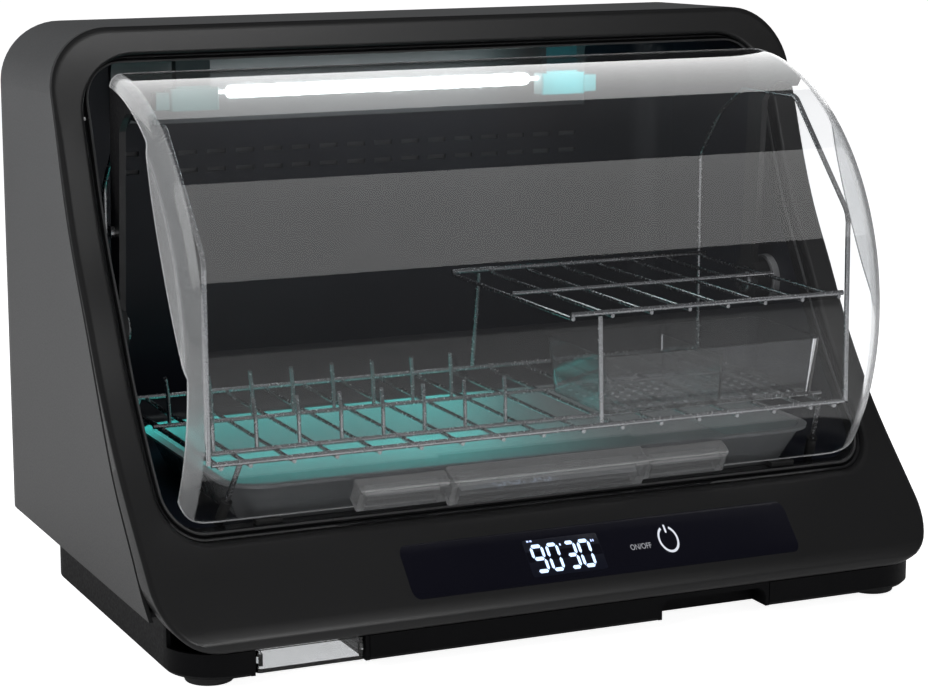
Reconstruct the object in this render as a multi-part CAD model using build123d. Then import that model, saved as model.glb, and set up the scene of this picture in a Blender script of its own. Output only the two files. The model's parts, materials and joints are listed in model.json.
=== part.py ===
from build123d import *
import math
import os

# Dish sterilizer cabinet, millimetres. +Z up, front faces -Y, origin at the
# middle of the footprint on the surface that the feet stand on.

# ---------------------------------------------------------------- driving sizes
W = 503.0            # overall width
HW = W / 2
Y_FRONT = -172.5     # foremost line of the chin
Y_BACK = 172.5       # back plane
Z_TOP = 351.2        # top, at the front edge
Z_TOP_BACK = 347.5   # top, at the back
Z_SHELL = 36.0       # lower edge of the wrap
Z_CHIN = 21.1        # lower edge of the front frame
Z_PLINTH = 6.0       # underside of the plinth
T_SHELL = 2.5
R_SHELL = 38.0       # outer corner radius of the wrap
R_CHIN = 35.0        # lower corner radius of the front frame

OPEN_HW = 234.0      # half width of the front opening
OPEN_Z0 = 72.5
OPEN_Z1 = 334.5
OPEN_R_TOP = 35.0
OPEN_R_BOT = 25.0

PIVOT_Y = 10.7       # lid pivot axis, parallel to X
PIVOT_Z = 172.3
LID_R = 154.2        # outside radius of the curved sheet
LID_T = 2.2
LID_HW = 226.0       # outer faces of the cheeks
LID_FIL = 11.0       # rounding between sheet and cheeks
LID_TH0 = 2.0        # top edge, degrees forward of straight up
LID_TH1 = 126.5      # bottom edge

LINER_HW = 232.5     # inner faces of the chamber
LINER_T = 1.5
LINER_Z0 = 76.0      # chamber floor
LINER_Z1 = 338.0
LINER_Y1 = 167.0
LINER_R = 23.5       # upper and rear corners, outside the path of the lid

LAMP_Y = 122.5
LAMP_Z = 302.5
LAMP_R = 4.5
LAMP_HL = 108.0

RACK_HW = 209.0
RACK_Z = 117.5
RACK_Y0 = -124.5
RACK_Y1 = 62.5
WIRE_R = 1.6

PL_HW = 242.5        # plinth half width
PL_Y0 = -170.5
PL_Y1 = 105.0
DRAWER_X0 = -199.0   # left bay, for the water drawer
DRAWER_X1 = -133.0
BAY_X0 = 57.0        # right bay
BAY_X1 = 128.0
FOOT_R = 14.0

# fan axis
FAN_X = 62.0
FAN_Y = -20.0

# ------------------------------------------------------------ front curves (y, z)
FACE = [(37.5, 366.0), (32.6, 351.2), (28.5, 335.5), (21.5, 315.5), (13.1, 295.5),
        (-4.0, 252.3), (-20.5, 218.1), (-37.9, 190.0), (-60.3, 152.5), (-80.8, 124.5),
        (-93.3, 109.3), (-124.3, 77.4), (-147.0, 55.2), (-169.0, 33.0)]
SEAM = [(43.5, 366.0), (39.0, 351.5), (34.0, 335.0), (27.0, 316.0), (19.6, 297.0),
        (5.2, 256.0), (-10.0, 223.5), (-30.0, 189.5), (-50.5, 153.0), (-69.0, 120.0),
        (-85.5, 96.0), (-111.5, 67.5), (-128.5, 48.5), (-144.0, 35.5)]


def behind(points, dy, y_far=420.0, low=-20.0, lip=None):
    """Everything behind a front curve that is moved back by dy."""
    pts = [(y + dy, z) for y, z in points]
    top = pts[0]
    end = pts[-1]
    with BuildSketch(Plane.YZ) as sk:
        with BuildLine():
            Spline(*pts)
            if lip is None:
                tail = [end, (end[0] - 10.0, low), (y_far, low), (y_far, top[1]), top]
            else:
                tail = [end, (lip[0] + dy, lip[1]), (lip[0] + dy, low), (y_far, low), (y_far, top[1]), top]
            Polyline(*tail)
        make_face()
    return extrude(sk.sketch, amount=300, both=True)


def behind_face(dy):
    return behind(FACE, dy, lip=(Y_FRONT, 27.5))


def behind_seam(dy):
    return behind(SEAM, dy)


def rrect_xz(x0, x1, z0, z1, r_top, r_bot, y0, y1):
    """Prism along Y with a rounded rectangle section in XZ."""
    with BuildSketch(Plane.XZ) as sk:
        with BuildLine():
            l1 = Line((x0 + r_bot, z0), (x1 - r_bot, z0))
            a1 = RadiusArc((x1 - r_bot, z0), (x1, z0 + r_bot), -r_bot)
            l2 = Line((x1, z0 + r_bot), (x1, z1 - r_top))
            a2 = RadiusArc((x1, z1 - r_top), (x1 - r_top, z1), -r_top)
            l3 = Line((x1 - r_top, z1), (x0 + r_top, z1))
            a3 = RadiusArc((x0 + r_top, z1), (x0, z1 - r_top), -r_top)
            l4 = Line((x0, z1 - r_top), (x0, z0 + r_bot))
            a4 = RadiusArc((x0, z0 + r_bot), (x0 + r_bot, z0), -r_bot)
        make_face()
    # Plane.XZ looks along -Y, so a positive amount goes towards -Y
    s = extrude(sk.sketch, amount=(y1 - y0))
    return s.moved(Location((0, y1, 0)))


def opening(grow, r_top=None, y0=-260.0, y1=160.0):
    g = grow
    return rrect_xz(-OPEN_HW - g, OPEN_HW + g, OPEN_Z0 - g, OPEN_Z1 + g,
                    OPEN_R_TOP + g if r_top is None else r_top, OPEN_R_BOT + g, y0, y1)


def wrap_block(inset, z_low, r):
    """Rounded block of the wrap: sloping top, rounded sides and back."""
    x = HW - inset
    slope = (Z_TOP_BACK - Z_TOP) / (Y_BACK - 36.0)
    y0 = -260.0
    zt0 = Z_TOP + slope * (y0 - 36.0) - inset
    zt1 = Z_TOP_BACK - inset
    with BuildSketch(Plane.YZ) as sk:
        with BuildLine():
            Polyline((y0, z_low), (Y_BACK - inset, z_low), (Y_BACK - inset, zt1), (y0, zt0), close=True)
        make_face()
    s = extrude(sk.sketch, amount=x, both=True)
    es = []
    for e in s.edges():
        c = e.center()
        b = e.bounding_box()
        dx, dyy, dz = b.size.X, b.size.Y, b.size.Z
        if abs(abs(c.X) - x) < 0.01 and dyy > 100 and c.Z > 200:
            es.append(e)
        if abs(abs(c.X) - x) < 0.01 and dz > 100 and c.Y > 100:
            es.append(e)
        if dx > 100 and c.Y > 100 and c.Z > 200:
            es.append(e)
    return fillet(es, r)


def frame_block(inset, r_top, r_bot, y0=-260.0, y1=120.0):
    """Outline of the front frame, same sloping top as the wrap."""
    x = HW - inset
    slope = (Z_TOP_BACK - Z_TOP) / (Y_BACK - 36.0)
    zt0 = Z_TOP + slope * (y0 - 36.0) - inset
    zt1 = Z_TOP + slope * (y1 - 36.0) - inset
    z_low = Z_CHIN + inset
    with BuildSketch(Plane.YZ) as sk:
        with BuildLine():
            Polyline((y0, z_low), (y1, z_low), (y1, zt1), (y0, zt0), close=True)
        make_face()
    s = extrude(sk.sketch, amount=x, both=True)
    up, lo = [], []
    for e in s.edges():
        c = e.center()
        b = e.bounding_box()
        if abs(abs(c.X) - x) < 0.01 and b.size.Y > 100:
            (up if c.Z > 200 else lo).append(e)
    s = fillet(up, r_top)
    lo = [e for e in s.edges() if abs(abs(e.center().X) - x) < 0.01 and e.bounding_box().size.Y > 100
          and e.center().Z < z_low + 1]
    return fillet(lo, r_bot)


def bx(x0, x1, y0, y1, z0, z1):
    return Pos((x0 + x1) / 2, (y0 + y1) / 2, (z0 + z1) / 2) * Box(abs(x1 - x0), abs(y1 - y0), abs(z1 - z0))


def cylx(x0, x1, y, z, r):
    return Pos((x0 + x1) / 2, y, z) * Rot(0, 90, 0) * Cylinder(r, abs(x1 - x0))


def cyly(x, y0, y1, z, r):
    return Pos(x, (y0 + y1) / 2, z) * Rot(90, 0, 0) * Cylinder(r, abs(y1 - y0))


def cylz(x, y, z0, z1, r):
    return Pos(x, y, (z0 + z1) / 2) * Cylinder(r, abs(z1 - z0))


def rbox(x0, x1, y0, y1, z0, z1, r):
    """Box with rounded vertical edges."""
    b = bx(x0, x1, y0, y1, z0, z1)
    return fillet(b.edges().filter_by(Axis.Z), r)


def wire(points, r, radii):
    """Bent round wire: straight runs joined by tangent arcs."""
    path = FilletPolyline(*points, radius=radii) if len(points) > 2 else Line(*points)
    p0 = path @ 0
    t0 = path % 0
    return sweep(Plane(origin=p0, z_dir=t0) * Circle(r), path=path)


def fuse(parts):
    out = parts[0]
    if len(parts) > 1:
        out = parts[0].fuse(*parts[1:])
    return out


def solids_of(shape):
    if isinstance(shape, (list, tuple)):
        out = []
        for s in shape:
            out += solids_of(s)
        return out
    return list(shape.solids())


NODES = {}


def put(name, shape):
    NODES[name] = solids_of(shape)


# =================================================================== outer shell
outer = wrap_block(0.0, Z_SHELL, R_SHELL)
inner = wrap_block(T_SHELL, Z_SHELL - 20.0, R_SHELL - T_SHELL)
seam0 = behind_seam(0.0)
shell = (outer & seam0) - inner
# window in the back wall, taken by the rear cover
WIN = (-200.0, 200.0, 44.0, 306.0)
shell = shell - rrect_xz(WIN[0], WIN[1], WIN[2], WIN[3], 18, 18, 160, 200)
# ledge behind the window, which the cover lies on and its screws bite into
ledge = rrect_xz(WIN[0] - 4, WIN[1] + 4, WIN[2] - 4, WIN[3] + 3, 20, 20, 168.7, 170.05) \
    - rrect_xz(WIN[0] + 11, WIN[1] - 11, WIN[2] + 11, WIN[3] - 11, 12, 12, 160, 180)
shell = shell + ledge
SCREWS = [(-190.0, 53.0), (0.0, 50.0), (190.0, 53.0), (-190.0, 297.0), (0.0, 300.0), (190.0, 297.0)]
shell = shell - [cyly(sx, 160, 180, sz, 1.55) for sx, sz in SCREWS]
put("outer_shell", shell)

# rear cover: flush panel with slots and countersunk screw holes
cov = rrect_xz(WIN[0] + 0.4, WIN[1] - 0.4, WIN[2] + 0.4, WIN[3] - 0.4, 17.6, 17.6, 170.1, 172.1)
slots = []
for row in range(4):
    for i in range(-6, 7):
        slots.append(rrect_xz(i * 24.0 - 8.0, i * 24.0 + 8.0, 238.0 + row * 12.0, 242.0 + row * 12.0, 1.9, 1.9, 160, 180))
for row in range(2):
    for i in range(-5, 5):
        slots.append(rrect_xz(i * 24.0 - 8.0, i * 24.0 + 8.0, 58.0 + row * 8.0, 62.0 + row * 8.0, 1.9, 1.9, 160, 180))
for sx, sz in SCREWS:
    slots.append(cyly(sx, 160, 180, sz, 1.7))
cov = cov - slots
put("rear_cover", cov)
scr = []
for sx, sz in SCREWS:
    s = cyly(sx, 168.8, 172.2, sz, 1.5) + cyly(sx, 172.1, 172.5, sz, 3.0)
    s = s - bx(sx - 1.8, sx + 1.8, 172.3, 173, sz - 0.3, sz + 0.3) - bx(sx - 0.3, sx + 0.3, 172.3, 173, sz - 1.8, sz + 1.8)
    scr.append(s)
put("rear_screws", scr)

# =================================================================== front frame
fb0 = frame_block(0.0, R_SHELL, R_CHIN)
fb3 = frame_block(2.8, R_SHELL - 2.8, R_CHIN - 2.8)
fb25 = frame_block(2.6, R_SHELL - 2.6, R_CHIN - 2.6)
fb5 = frame_block(5.0, R_SHELL - 5.0, R_CHIN - 5.0)
face0 = behind_face(0.0)
face3 = behind_face(3.0)
face_end = behind_face(15.6)
seam_front = behind_seam(-3.5)
seam_in = behind_seam(8.0)
plate = (fb0 & face0) - seam_front
pocket = (fb3 - opening(3.0)) & face3
plate = plate - pocket - (fb3 & face_end)
# spigot that enters the wrap, and collar round the opening
spigot = ((fb25 - fb5) & behind_face(2.5)) - seam_in
spigot = spigot - bx(-300, 300, -300, 300, 0, Z_SHELL + 4.0)
collar = ((opening(3.0, 24.0) - opening(0.0)) & behind_face(2.0)) - face_end
frame = plate + spigot + collar
frame = frame - opening(0.0)
# window recess in the chin
WX0, WX1, WZ0, WZ1 = -101.0, 155.0, 36.5, 62.0
recess = (rrect_xz(WX0 - 0.15, WX1 + 0.15, WZ0 - 0.15, WZ1 + 0.15, 5, 5, -200, -80)) - behind_face(1.6)
frame = frame - recess
sight = rrect_xz(-24, 26, 40.0, 57.5, 1.5, 1.5, -200, -100) - behind_face(30.0)
frame = frame - sight
touch_hole = rrect_xz(61, 79, 44.5, 56.0, 1.5, 1.5, -200, -100) - behind_face(30.0)
frame = frame - touch_hole
put("front_frame", frame)

win = (rrect_xz(WX0, WX1, WZ0, WZ1, 4.9, 4.9, -200, -80) & behind_face(0.05)) - behind_face(1.55)
put("control_window", win)

# gutter inside the opening, with a raised thin bead in front; its upper corners
# are tighter than the frame's, so that the corners of the lid pass
rim = ((opening(-0.05) - opening(-5.0, 22.0)) & behind_face(5.0)) - behind_face(14.0)
put("opening_rim", rim)
seal = ((opening(-3.6, 23.4) - opening(-4.6, 22.4)) & behind_face(3.4)) - behind_face(5.0)
put("lid_seal", seal)

# ================================================================= chamber liner


def liner_block(grow):
    x = LINER_HW + grow
    b = bx(-x, x, -260, LINER_Y1 + grow, LINER_Z0 - grow, LINER_Z1 + grow)
    es = []
    for e in b.edges():
        c = e.center()
        s = e.bounding_box().size
        if s.Y > 100 and c.Z > 200:
            es.append(e)
        elif s.Z > 100 and c.Y > 0:
            es.append(e)
        elif s.X > 100 and c.Y > 0 and c.Z > 200:
            es.append(e)
    b = fillet(es, LINER_R + grow)
    es = [e for e in b.edges() if e.center().Z < LINER_Z0 - grow + 0.1 and abs(e.center().X) > x - 20
          and e.bounding_box().size.Y > 100]
    return fillet(es, 20.0 + grow)


liner = (liner_block(LINER_T) - liner_block(0.0)) & behind_face(16.5)
cuts = []
GR = (18.0, 110.0, 66.0, 100.0)      # warm air opening in the floor, x and y
cuts.append(bx(GR[0], GR[1], GR[2], GR[3], 70, 80))
DRX, DRY = -163.0, -76.0             # drain hole above the water drawer
cuts.append(cylz(DRX, DRY, 70, 80, 7.0))
for i in range(-8, 9):               # outlet slots high in the back wall
    cuts.append(bx(i * 20.0 - 6.5, i * 20.0 + 6.5, 150, 180, 244, 247))
    cuts.append(bx(i * 20.0 - 6.5, i * 20.0 + 6.5, 150, 180, 256, 259))
VENTS = [(-15.0, 302.5), (-15.0, 296.8), (-15.0, 291.1), (3.5, 304.3), (3.5, 298.6)]
for sx in (-1, 1):
    for vy, vz in VENTS:
        cuts.append(cylx(sx * 225, sx * 245, vy + 35.0, vz - 4.0, 1.4))
for sx in (-1, 1):                   # holes for the pivot bushes
    cuts.append(cylx(sx * 225, sx * 245, PIVOT_Y, PIVOT_Z, 9.0))
liner = liner - cuts
put("chamber_liner", liner)

# floor grille over the warm air opening
gr = rbox(GR[0] - 5, GR[1] + 5, GR[2] - 5, GR[3] + 3, LINER_Z0, LINER_Z0 + 2.0, 4)
gcuts = []
for i in range(8):
    for j in range(3):
        x0 = GR[0] + 3.0 + i * 11.2
        y0 = GR[2] + 2.0 + j * 11.0
        gcuts.append(bx(x0, x0 + 7.5, y0, y0 + 7.5, 70, 90))
put("floor_grille", gr - gcuts)

# ===================================================================== lid (clear)
AX = Axis((0, PIVOT_Y, PIVOT_Z), (1, 0, 0))


def spin(shape, deg):
    """Turn about the pivot axis, straight up towards the front."""
    return shape.rotate(AX, deg)


def lid_section(x_out, r_out, r_in, fil):
    with BuildSketch(Plane(origin=(0, PIVOT_Y, PIVOT_Z), x_dir=(1, 0, 0), z_dir=(0, -1, 0))) as sk:
        with BuildLine():
            Line((-x_out, r_in), (-x_out, r_out - fil))
            RadiusArc((-x_out, r_out - fil), (-x_out + fil, r_out), fil)
            Line((-x_out + fil, r_out), (x_out - fil, r_out))
            RadiusArc((x_out - fil, r_out), (x_out, r_out - fil), fil)
            Line((x_out, r_out - fil), (x_out, r_in))
            Line((x_out, r_in), (-x_out, r_in))
        make_face()
    return sk.sketch


sec = lid_section(LID_HW, LID_R, 12.0, LID_FIL) - lid_section(LID_HW - LID_T, LID_R - LID_T, 6.0, LID_FIL - LID_T)
lid = revolve(spin(sec, LID_TH0), axis=AX, revolution_arc=LID_TH1 - LID_TH0)
# the cheeks are crescents: cut away everything inboard of their front edge line
CHEEK = [(-68.0, 316.0), (-72.3, 300.7), (-82.6, 267.7), (-104.5, 221.3), (-121.9, 192.0), (-150.0, 154.5)]
core = []
for sx in (-1, 1):
    with BuildSketch(Plane.YZ) as sk:
        with BuildLine():
            Spline(*CHEEK)
            Polyline(CHEEK[-1], (-150.0, 60.0), (120.0, 60.0), (120.0, 340.0), (-68.0, 340.0), CHEEK[0])
        make_face()
    c = extrude(sk.sketch, amount=10.0)
    c = c.moved(Location((sx * (LID_HW - LID_T / 2) - 5.0, 0, 0)))
    core.append(c)
cyl_keep = cylx(-LID_HW - 2, LID_HW + 2, PIVOT_Y, PIVOT_Z, LID_R + 2) - cylx(-LID_HW - 3, LID_HW + 3, PIVOT_Y, PIVOT_Z, LID_R - 6.0)
core = [c - cyl_keep for c in core]
lid = lid - core


def corner_cut(theta, sx, r, up):
    """Removes a sheet corner: quarter round of radius r at angle theta, end sx."""
    # local frame: x along X, y along the tangent, z radial
    t = math.radians(theta)
    rad = Vector(0, -math.sin(t), math.cos(t))
    org = Vector(0, PIVOT_Y, PIVOT_Z) + rad * (LID_R - 30.0)
    # tangent that leads into the sheet
    tan = Vector(0, -math.cos(t), -math.sin(t)) * (1 if up else -1)
    pl = Plane(origin=org, x_dir=Vector(sx, 0, 0), z_dir=rad)
    s = 1 if (pl.y_dir.dot(tan) > 0) else -1
    with BuildSketch(pl) as sk:
        with BuildLine():
            x1 = LID_HW
            Polyline((x1 - r, -20 * s), (x1 + 8, -20 * s), (x1 + 8, r * s), (x1, r * s))
            ThreePointArc((x1, r * s), (x1 - r + r * math.sin(math.pi / 4), s * (r - r * math.cos(math.pi / 4))), (x1 - r, 0))
            Line((x1 - r, 0), (x1 - r, -20 * s))
        make_face()
    return extrude(sk.sketch, amount=60)


cc = [corner_cut(LID_TH0, -1, 18.0, True), corner_cut(LID_TH0, 1, 18.0, True),
      corner_cut(LID_TH1, -1, 22.0, False), corner_cut(LID_TH1, 1, 22.0, False)]
lid = lid - cc
put("lid", lid)

# arms inside the sheet: hub, straight blade and a foot bonded under the sheet
ARM_X0, ARM_X1 = 215.6, 219.6
R_ARM = LID_R - LID_T - 0.02
inside_lid = revolve(lid_section(LID_HW - LID_T - 0.02, R_ARM, 1.0, LID_FIL - LID_T - 0.02), axis=AX, revolution_arc=360.0)


def polar(r, deg):
    a = math.radians(deg)
    return (PIVOT_Y - r * math.sin(a), PIVOT_Z + r * math.cos(a))


for sx, nm in ((-1, "left"), (1, "right")):
    with BuildSketch(Plane.YZ) as sk:
        with BuildLine():
            ThreePointArc(polar(R_ARM, 3.0), polar(R_ARM, 13.0), polar(R_ARM, 23.0))
            Line(polar(R_ARM, 23.0), polar(R_ARM - 9.0, 22.0))
            ThreePointArc(polar(R_ARM - 9.0, 22.0), polar(R_ARM - 15.0, 14.0), polar(R_ARM - 30.0, 8.0))
            Line(polar(R_ARM - 30.0, 8.0), (PIVOT_Y - 8.0, PIVOT_Z + 8.0))
            Line((PIVOT_Y - 8.0, PIVOT_Z + 8.0), (PIVOT_Y + 8.0, PIVOT_Z + 8.0))
            Line((PIVOT_Y + 8.0, PIVOT_Z + 8.0), polar(R_ARM - 6.0, 0.0))
            Line(polar(R_ARM - 6.0, 0.0), polar(R_ARM, 3.0))
        make_face()
    xa, xb = sorted((sx * ARM_X0, sx * ARM_X1))
    arm = extrude(sk.sketch, amount=ARM_X1 - ARM_X0)
    bb = arm.bounding_box()
    arm = arm.moved(Location((xa - bb.min.X, 0, 0))) & inside_lid
    arm = arm + cylx(sx * ARM_X0, sx * 226.5, PIVOT_Y, PIVOT_Z, 15.0)
    arm = arm - cylx(sx * 210, sx * 230, PIVOT_Y, PIVOT_Z, 5.02)
    put("lid_arm_" + nm, arm)
    pin = cylx(sx * 213.5, sx * 238.0, PIVOT_Y, PIVOT_Z, 5.0)
    head = cylx(sx * 212.2, sx * 215.58, PIVOT_Y, PIVOT_Z, 9.0)
    head = fillet([e for e in head.edges() if abs(e.center().X - sx * 212.2) < 0.01], 2.0)
    put("hinge_pin_" + nm, pin + head)
    bush = cylx(sx * 228.0, sx * 239.5, PIVOT_Y, PIVOT_Z, 8.9) + cylx(sx * 228.0, sx * (LINER_HW - 0.02), PIVOT_Y, PIVOT_Z, 16.0)
    bush = bush - cylx(sx * 220, sx * 238.6, PIVOT_Y, PIVOT_Z, 5.05)
    put("hinge_bush_" + nm, bush)


# handle: three-part grip on the lower edge, bonded to the outside of the sheet
def handle_part(x0, x1, th0, th1, r1, soft):
    """A bar along X that hugs the sheet between two angles, hollowed from below."""
    with BuildSketch(Plane.YZ) as sk:
        a0, a1 = math.radians(th0), math.radians(th1)
        am = (a0 + a1) / 2
        r0 = LID_R + 0.02

        def p(r, a):
            return (PIVOT_Y - r * math.sin(a), PIVOT_Z + r * math.cos(a))
        with BuildLine():
            ThreePointArc(p(r0, a0), p(r0, am), p(r0, a1))
            Line(p(r0, a1), p(r1, a1))
            ThreePointArc(p(r1, a1), p(r1, am), p(r1, a0))
            Line(p(r1, a0), p(r0, a0))
        make_face()
    s = extrude(sk.sketch, amount=(x1 - x0))
    s = s.moved(Location((x0, 0, 0)))
    outer_edges = [e for e in s.edges() if e.center().Y < PIVOT_Y and
                   math.hypot(e.center().Y - PIVOT_Y, e.center().Z - PIVOT_Z) > r1 - 0.6]
    return fillet(outer_edges, soft)


h_mid = handle_part(-64, 64, 117.0, 123.6, LID_R + 15.0, 2.6)
h_l = handle_part(-121, -64.8, 117.8, 123.4, LID_R + 12.0, 2.4)
h_r = handle_part(64.8, 121, 117.8, 123.4, LID_R + 12.0, 2.4)
h_base = handle_part(-116, 116, 118.4, 122.6, LID_R + 4.0, 0.8)
handle = h_mid.fuse(h_l, h_r, h_base)
# finger scoops from below
scoop = []
for x0, x1, rr in ((-58, 58, 11.5), (-116, -70, 8.5), (70, 116, 8.5)):
    with BuildSketch(Plane.YZ) as sk:
        def p(r, a):
            a = math.radians(a)
            return (PIVOT_Y - r * math.sin(a), PIVOT_Z + r * math.cos(a))
        with BuildLine():
            Polyline(p(LID_R + 3.0, 128), p(LID_R + 3.0, 119.8), p(LID_R + rr, 119.8), p(LID_R + rr, 128), close=True)
        make_face()
    scoop.append(extrude(sk.sketch, amount=(x1 - x0)).moved(Location((x0, 0, 0))))
handle = handle - scoop
put("lid_handle", handle)

# magnet on the outside of the left arm
mg_y, mg_z = 9.0, 232.0
put("lid_magnet", cylx(-ARM_X1 - 3.0, -ARM_X1 - 0.02, mg_y, mg_z, 4.0))

# ======================================================================= UV lamp
tube = cylx(-LAMP_HL, LAMP_HL, LAMP_Y, LAMP_Z, LAMP_R)
tube = fillet(tube.edges(), 3.0)
tube = tube + cylx(-LAMP_HL - 8, LAMP_HL + 8, LAMP_Y, LAMP_Z, 1.2)
put("uv_lamp_tube", tube)
for sx, nm in ((-1, "left"), (1, "right")):
    xa, xb = sorted((sx * 115.0, sx * 148.0))
    so = rbox(xa, xb, LAMP_Y - 7, LAMP_Y + 7, LAMP_Z - 11.5, LAMP_Z + 4.0, 2.0)
    so = so + bx(*sorted((sx * 148.0, sx * 157.0)), LAMP_Y - 5, LAMP_Y + 5, LAMP_Z - 10.5, LAMP_Z + 1.5)
    so = so + bx(*sorted((sx * 120.0, sx * 143.0)), LAMP_Y - 4, LAMP_Y + 4, LAMP_Z + 3.0, 335.38)
    so = so - cylx(sx * 110, sx * 124.0, LAMP_Y, LAMP_Z, 1.25)
    put("lamp_socket_" + nm, so)

# reflector: rolled trough behind the lamp
with BuildSketch(Plane.YZ) as sk:
    cy, cz = LINER_Y1 - 32.0, LINER_Z1 - 32.0

    def p(r, a):
        a = math.radians(a)
        return (cy + r * math.cos(a), cz + r * math.sin(a))
    with BuildLine():
        ThreePointArc(p(30.4, 0), p(30.4, 45), p(30.4, 90))
        Line(p(30.4, 90), (cy - 32.0, cz + 30.4))
        Line((cy - 32.0, cz + 30.4), (cy - 32.0, cz + 29.4))
        Line((cy - 32.0, cz + 29.4), p(29.4, 90))
        ThreePointArc(p(29.4, 90), p(29.4, 45), p(29.4, 0))
        Line(p(29.4, 0), (cy + 29.4, cz - 28))
        Line((cy + 29.4, cz - 28), (cy + 30.4, cz - 28))
        Line((cy + 30.4, cz - 28), p(30.4, 0))
    make_face()
refl = extrude(sk.sketch, amount=172, both=True)
put("lamp_reflector", refl)
# stand-offs that carry the reflector on the ceiling of the chamber
so = []
for x in (-130.0, 130.0):
    so.append(cylz(x, cy - 22.0, cz + 30.4, LINER_Z1, 4.0))
put("reflector_studs", so)

# leads from the ballast up the right side, outside the liner, to the sockets
lead = wire([(190, 60, 40), (241.5, 60, 52), (241.5, 60, 120), (241.5, 100, 180), (241.5, 100, 290)], 1.6,
            [12, 12, 20])
put("lamp_lead", lead)

# ================================================================== racks and tray


def loft_rr(xa, ya, xb, yb, z0, r0, xc, yc, xd, yd, z1, r1):
    with BuildSketch(Plane.XY.offset(z0)) as s0:
        with Locations(((xa + xb) / 2, (ya + yb) / 2)):
            RectangleRounded(xb - xa, yb - ya, r0)
    with BuildSketch(Plane.XY.offset(z1)) as s1:
        with Locations(((xc + xd) / 2, (yc + yd) / 2)):
            RectangleRounded(xd - xc, yd - yc, r1)
    return loft([s0.sketch.faces()[0], s1.sketch.faces()[0]])


TR_Z0, TR_Z1 = LINER_Z0 + 0.2, 101.5
tray = loft_rr(-180, -104, 180, 50, TR_Z0, 16, -192, -118, 192, 58, TR_Z1, 22)
tray_in = loft_rr(-177.6, -101.6, 177.6, 47.6, TR_Z0 + 2.2, 14, -189.6, -115.6, 189.6, 55.6, TR_Z1 + 0.01, 20)
tray = tray - tray_in
lip = bx(-195, 195, -120.2, 60.2, TR_Z1 - 1.6, TR_Z1)
lip = fillet(lip.edges().filter_by(Axis.Z), 24)
lip_in = bx(-189.7, 189.7, -115.7, 55.7, TR_Z1 - 3, TR_Z1 + 3)
lip_in = fillet(lip_in.edges().filter_by(Axis.Z), 20)
tray = tray + (lip - lip_in)
tray = tray - cylz(DRX, DRY, 70, 80, 3.0)
put("drip_tray", tray)

# rack base: two thick wires and a mid wire along X, cross wires below, end wires
def rod(p0, p1, r):
    """Round bar between two points."""
    a, b = Vector(*p0), Vector(*p1)
    return extrude(Plane(origin=a, z_dir=(b - a)) * Circle(r), amount=(b - a).length)


rb = []
for y in (RACK_Y0, -98.5, -20.0, RACK_Y1):
    r = WIRE_R if y in (RACK_Y0, RACK_Y1) else 1.3
    rb.append(cylx(-RACK_HW + WIRE_R + 0.02, RACK_HW - WIRE_R - 0.02, y, RACK_Z, r))
PITCH = 26.3
xs = [-184.1 + PITCH * i for i in range(15)]
for x in xs:
    rb.append(cyly(x, RACK_Y0 - 0.4, RACK_Y1 + 0.4, RACK_Z - 2.4, 1.25))
LEGS = []
for sx in (-1, 1):
    LEGS.append(((sx * 190.0, RACK_Y0, RACK_Z), (sx * 196.5, -103.0, 77.7)))
    LEGS.append(((sx * 190.0, RACK_Y1, RACK_Z), (sx * 200.0, RACK_Y1 + 2.0, 77.7)))
    rb.append(cyly(sx * 201.5, RACK_Y0 + 0.5, RACK_Y1 - 0.5, RACK_Z - 2.4, WIRE_R))


def along(p, q, t):
    return tuple(a + (b - a) * t for a, b in zip(p, q))


legs, caps = [], []
for p, q in LEGS:
    # each leg is saddled under its long wire
    legs.append(rod(p, along(p, q, 0.90), WIRE_R) - cylx(-RACK_HW, RACK_HW, p[1], RACK_Z, WIRE_R + 0.02)
                - bx(-250, 250, -150, 100, RACK_Z, RACK_Z + 9.0))
    caps.append(rod(along(p, q, 0.62), q, 3.2) - rod(p, along(p, q, 0.901), WIRE_R + 0.01))
put("rack_base", fuse(rb))
put("rack_legs", legs)
put("rack_feet", caps)

# tines: bent pins that rise from the thin wires
tines = []
for x in xs[:8]:
    for y in (-98.5, -20.0):
        tines.append(wire([(x - 13.0, y, RACK_Z + 1.65), (x - 14.5, y - 3.0, RACK_Z + 18.0), (x - 18.0, y - 9.0, RACK_Z + 31.0)],
                          1.2, [30]))
put("rack_tines", tines)

# side frames
for sx, nm in ((-1, "left"), (1, "right")):
    x = sx * RACK_HW
    fr = wire([(x, RACK_Y0, RACK_Z), (x, -122.5, 234.0), (x, -58.0, 300.0), (x, 6.0, 300.0),
               (x, 35.5, 283.0), (x, 62.5, 252.0), (x, RACK_Y1, RACK_Z)], WIRE_R, [16, 10, 10, 16, 16])
    put("rack_side_" + nm, fr)

# bowl shelf
SH_Z = 185.0
sh = []
sh.append(cylx(19.0, RACK_HW - 1.62, -121.0, SH_Z, WIRE_R))
sh.append(cylx(19.0, 205.6, -40.0, SH_Z, 1.3))
sh.append(cylx(19.0, RACK_HW - 1.62, 50.0, SH_Z, WIRE_R))
for i in range(8):
    sh.append(cyly(20.5 + i * 26.3, -121.6, 50.6, SH_Z - 2.4, 1.25))
put("bowl_shelf", fuse(sh))
# two uprights that stand on the long wires of the rack
put("shelf_legs", [rod((38.5, -121.2, SH_Z - 1.9), (38.5, -123.9, RACK_Z + 1.8), 1.59),
                   rod((38.5, 50.6, SH_Z - 2.0), (38.5, 61.5, RACK_Z + 2.1), 1.59)])

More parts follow.
